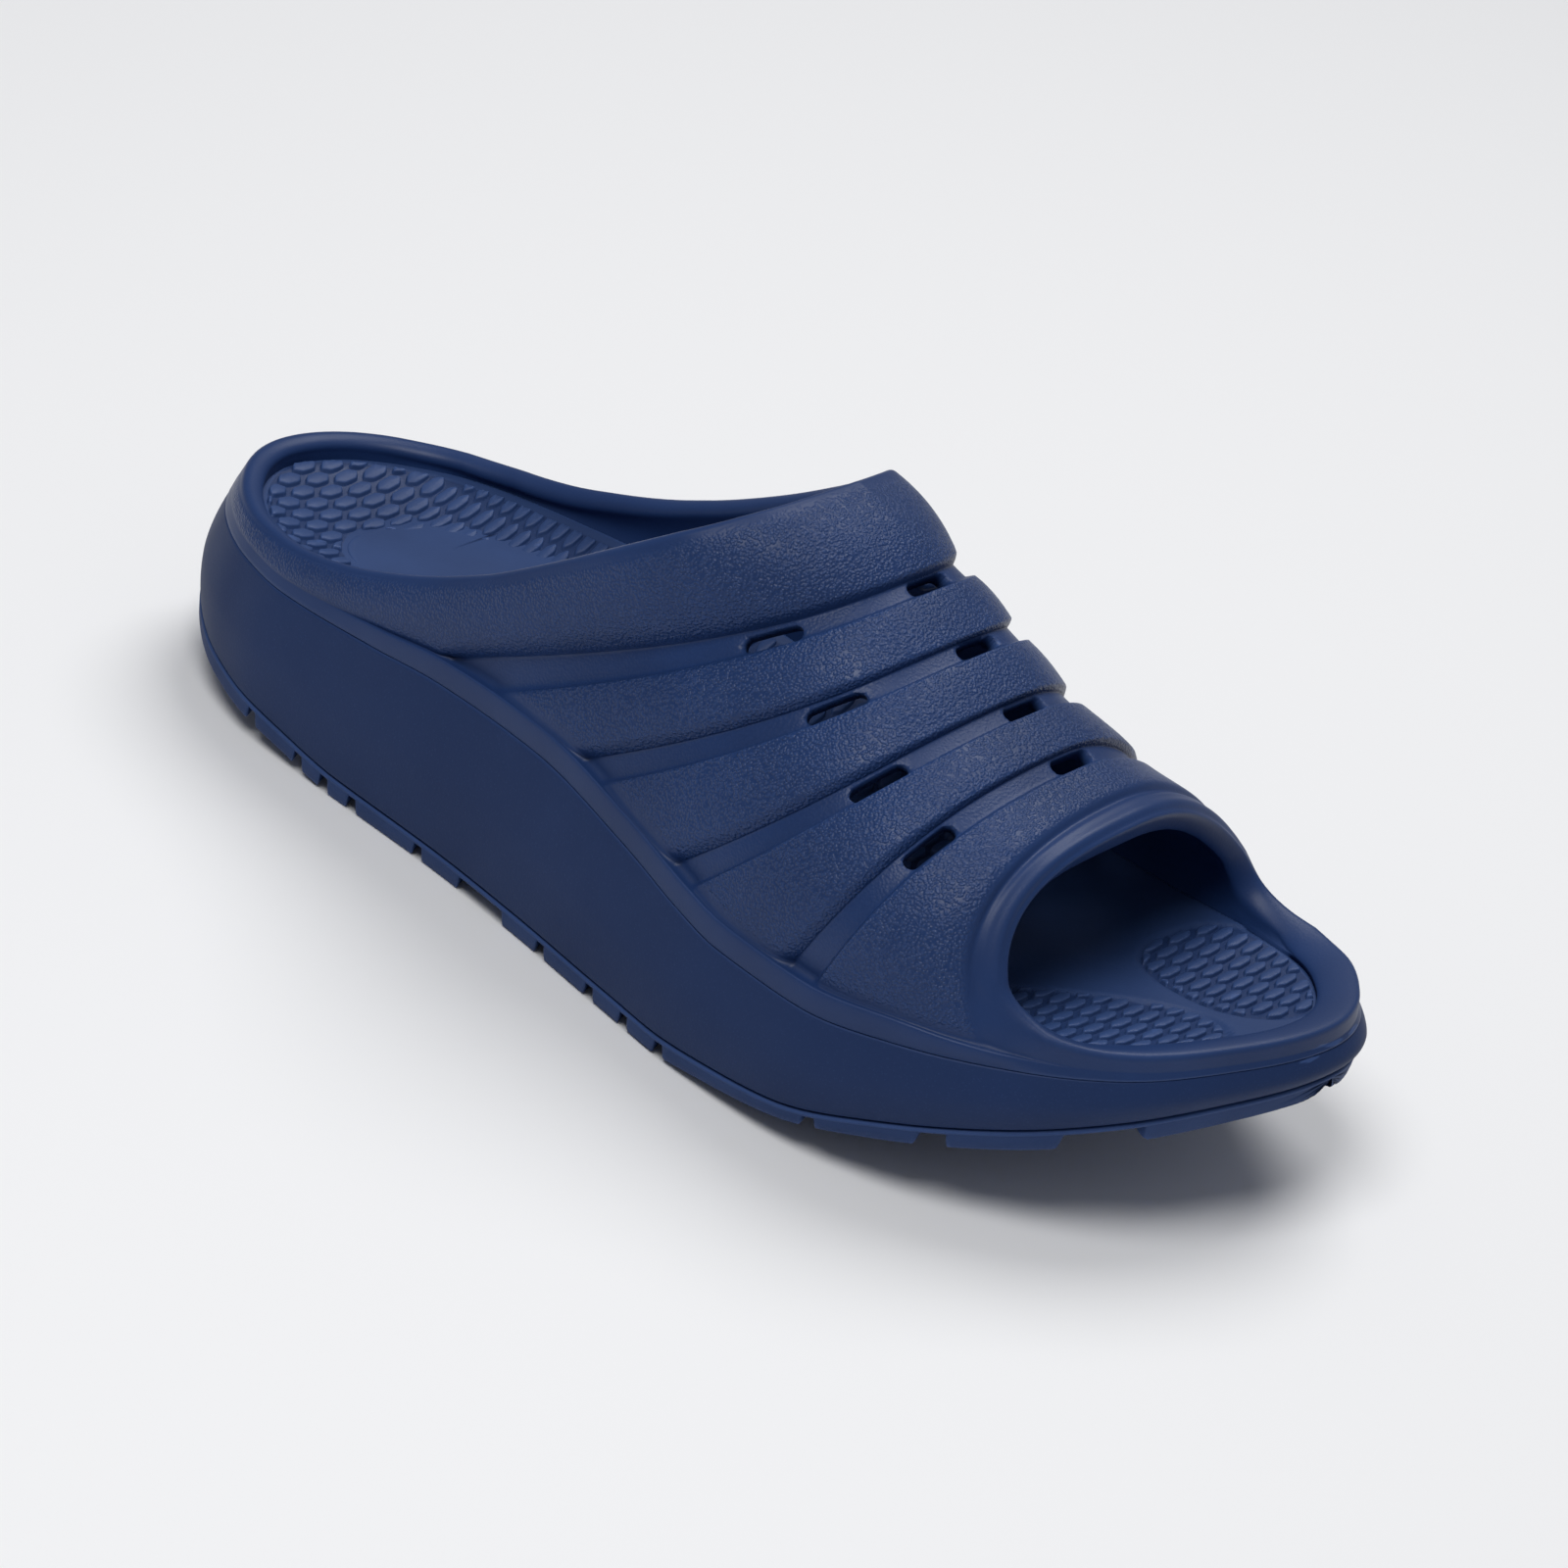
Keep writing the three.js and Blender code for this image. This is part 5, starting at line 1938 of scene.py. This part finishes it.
@dataclass(frozen=True)
class FoamFinish:
    """A moulded foam finish: its navy, its gloss, and how deep its grain and speckle are."""

    name: str
    colour: Colour = (0.0138, 0.038, 0.128, 1.0)
    deep: Colour = (0.0075, 0.021, 0.075, 1.0)
    pale: Colour = (0.05, 0.1, 0.27, 1.0)
    roughness: float = 0.37
    specular: float = 0.26
    grain_size: float = 0.00062
    grain_depth: float = 0.00042
    speckle_size: float = 0.0006
    speckle_depth: float = 0.00003
    fleck: float = 0.05
    # How far the grain value darkens the colour, as painted shade; the footbed uses it in the
    # grooves between its pads.
    shade: float = 0.0
    mottle: float = 0.35
    # Painted shade in the grain's pits and painted highlight on its ridges.
    pit_shade: float = 0.9
    ridge_shine: float = 0.2
    # How strongly the painted highlight lies on edges and the painted shade lies in creases.
    edge_shine: float = 0.5
    crease_shade: float = 0.45
    bare_roughness: float = 0.07

    def material(self, effects: dict[str, bpy.types.NodeTree]) -> bpy.types.Material:
        """Make the material.

        Args:
            effects: The shared node groups by name.

        Returns:
            The material.
        """
        made = bpy.data.materials.new(self.name)
        made.use_nodes = True
        sheet = Sheet(made.node_tree)

        def effect(name: str, **values: object) -> bpy.types.Node:
            """Place a shared group with its own values.

            Args:
                name: The group's name.
                **values: Its inputs by name.

            Returns:
                The node.
            """
            node = sheet.node("Group", node_tree=effects[name])
            for label, value in values.items():
                sheet.feed(node.inputs[label], value)
            return node

        grain = effect("leather_grain", Size=self.grain_size)
        speckle = effect("fine_speckle", Size=self.speckle_size)
        edge_light_and_shade = effect("edge_highlight_and_crease_shade")
        strength = sheet.node("Attribute", attribute_name="grain").outputs["Fac"]

        def share(mask: Socket, amount: object) -> Socket:
            """Return a mask weakened to an amount."""
            return sheet.math("MULTIPLY", mask, amount)

        # The grain's pits are darkened as painted shade and its ridges are paled as painted
        # highlight.
        pits = share(grain.outputs["Pits"], share(strength, self.pit_shade))
        ridges = share(grain.outputs["Ridges"], share(strength, self.ridge_shine))
        mottle = speckle.outputs["Mottle"]
        tone = self.colour
        for mask, colour in (
            (share(mottle, self.mottle), self.deep),
            (pits, self.deep),
            (ridges, self.pale),
            (share(strength, self.shade), self.deep),
            (share(speckle.outputs["Flecks"], self.fleck), self.pale),
            # Painted highlight on sharp edges, then painted shade in creases.
            (share(edge_light_and_shade.outputs["Edges"], self.edge_shine), self.pale),
            (share(edge_light_and_shade.outputs["Creases"], self.crease_shade), self.deep),
        ):
            tone = sheet.blend(mask, tone, colour)
        bare = sheet.math("SUBTRACT", 1.0, strength)
        rough = self.roughness - 0.04
        for mask, amount in ((mottle, 0.06), (pits, 0.1), (bare, self.bare_roughness)):
            rough = sheet.math("ADD", rough, share(mask, amount))
        surface = sheet.node("BsdfPrincipled")
        surface.inputs["Specular IOR Level"].default_value = self.specular
        sheet.feed(surface.inputs["Base Color"], tone)
        sheet.feed(surface.inputs["Roughness"], rough)
        leather = sheet.math("MULTIPLY", grain.outputs["Height"], strength)
        first = sheet.node("Bump")
        first.inputs["Distance"].default_value = self.grain_depth
        sheet.feed(first.inputs["Height"], leather)
        second = sheet.node("Bump")
        second.inputs["Distance"].default_value = self.speckle_depth
        sheet.feed(second.inputs["Height"], speckle.outputs["Height"])
        sheet.feed(second.inputs["Normal"], first.outputs["Normal"])
        sheet.feed(surface.inputs["Normal"], second.outputs["Normal"])
        output = sheet.node("OutputMaterial")
        sheet.feed(output.inputs["Surface"], surface.outputs["BSDF"])
        return made


@dataclass(frozen=True)
class Studio:
    """The plain pale floor, the soft lights and the camera at the photograph's angle."""

    floor_size: float = 8.0
    floor_colour: Colour = (0.86, 0.86, 0.865, 1.0)
    ambient: float = 0.2
    aim: tuple[float, float, float] = (0.0, 0.00228, 0.0426)
    azimuth: float = 33.5
    elevation: float = 28.3
    roll: float = 13.9
    distance: float = 1.225
    lens: float = 134.1
    shift: tuple[float, float] = (0.0225, -0.0319)

    # Azimuth, elevation, distance, size and power of each soft light, aimed at the shoe.
    LIGHTS: ClassVar = (
        ("key", 8.0, 64.0, 1.5, 0.8, 12.8),
        ("fill", 80.0, 30.0, 1.8, 1.6, 0.8),
        ("back", 195.0, 60.0, 1.5, 1.0, 11.0),
    )

    @staticmethod
    def towards(azimuth: float, elevation: float) -> Vector:
        """Return the direction from the shoe to a place round it, in degrees."""
        a, e = math.radians(azimuth), math.radians(elevation)
        return Vector((math.sin(a) * math.cos(e), -math.cos(a) * math.cos(e), math.sin(e)))

    def camera(self) -> None:
        """Make the camera."""
        data = bpy.data.cameras.new("camera")
        data.lens, data.sensor_width = self.lens, 36.0
        data.shift_x, data.shift_y = self.shift
        data.clip_start, data.clip_end = 0.01, 50.0
        made = new_object("camera", data)
        back = self.towards(self.azimuth, self.elevation)
        turn = (-back).to_track_quat("-Z", "Y").to_matrix().to_4x4()
        turn = turn @ Matrix.Rotation(math.radians(self.roll), 4, "Z")
        made.matrix_world = Matrix.Translation(Vector(self.aim) + back * self.distance) @ turn
        bpy.context.scene.camera = made

    def lights(self) -> None:
        """Make the soft lights and the pale surround."""
        for name, azimuth, elevation, distance, size, power in self.LIGHTS:
            data = bpy.data.lights.new(name, "AREA")
            data.shape, data.size, data.energy = "DISK", size, power
            made = new_object(name, data)
            back = self.towards(azimuth, elevation)
            made.location = Vector(self.aim) + back * distance
            made.rotation_mode = "QUATERNION"
            made.rotation_quaternion = (-back).to_track_quat("-Z", "Y")
        world = bpy.data.worlds.new("surround")
        world.use_nodes = True
        sheet = Sheet(world.node_tree)
        background = sheet.node("Background")
        background.inputs["Color"].default_value = (0.9, 0.93, 1.0, 1.0)
        background.inputs["Strength"].default_value = self.ambient
        sheet.feed(sheet.node("OutputWorld").inputs["Surface"], background.outputs["Background"])
        bpy.context.scene.world = world

    def floor(self) -> None:
        """Make the floor."""
        half = self.floor_size / 2
        mesh = bpy.data.meshes.new("studio_floor")
        corners = [(-half, -half, 0), (half, -half, 0), (half, half, 0), (-half, half, 0)]
        mesh.from_pydata(corners, [], [(0, 1, 2, 3)])
        material = bpy.data.materials.new("studio_floor")
        material.use_nodes = True
        surface = material.node_tree.nodes["Principled BSDF"]
        surface.inputs["Base Color"].default_value = self.floor_colour
        surface.inputs["Roughness"].default_value = 0.7
        mesh.materials.append(material)
        new_object("studio_floor", mesh)

    def build(self) -> None:
        """Build the whole studio."""
        bpy.context.scene.view_settings.view_transform = "Standard"
        self.floor()
        self.lights()
        self.camera()


class Finish(Enum):
    """The finishes of the slide's pieces."""

    UPPER = FoamFinish("satin_foam")
    MIDSOLE = FoamFinish(
        "speckled_foam",
        # The navy is set darker than the upper's to stand in for the shade on the sole's sides:
        # painted shade.
        colour=(0.0095, 0.0285, 0.1, 1.0),
        roughness=0.5,
        specular=0.22,
        grain_depth=0.0,
        speckle_depth=0.00005,
        fleck=0.12,
    )
    OUTSOLE = FoamFinish(
        "matt_rubber",
        colour=(0.019, 0.048, 0.15, 1.0),
        roughness=0.6,
        speckle_depth=0.00006,
        fleck=0.1,
    )
    FOOTBED = FoamFinish(
        "footbed_foam",
        colour=(0.027, 0.058, 0.165, 1.0),
        roughness=0.42,
        grain_depth=0.0,
        # Painted shade in the grooves between the pads.
        shade=0.6,
    )


def main() -> None:
    """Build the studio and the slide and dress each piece."""
    logging.basicConfig(level=logging.INFO, format="%(name)s: %(message)s")
    Studio().build()
    last = Last()
    effects = {
        "leather_grain": leather_grain(),
        "fine_speckle": fine_speckle(),
        "edge_highlight_and_crease_shade": edge_highlight_and_crease_shade(),
    }
    pieces = {
        Finish.OUTSOLE: Outsole(last).build(),
        Finish.MIDSOLE: Midsole(last).build(),
        Finish.FOOTBED: Footbed(last).build(),
        Finish.UPPER: Upper(last).build(),
    }
    for finish, piece in pieces.items():
        piece.data.materials.clear()
        piece.data.materials.append(finish.value.material(effects))
        log.info("%s: %d triangles", piece.name, triangles(piece.data))
    bpy.context.view_layer.update()


if __name__ == "__main__":
    main()
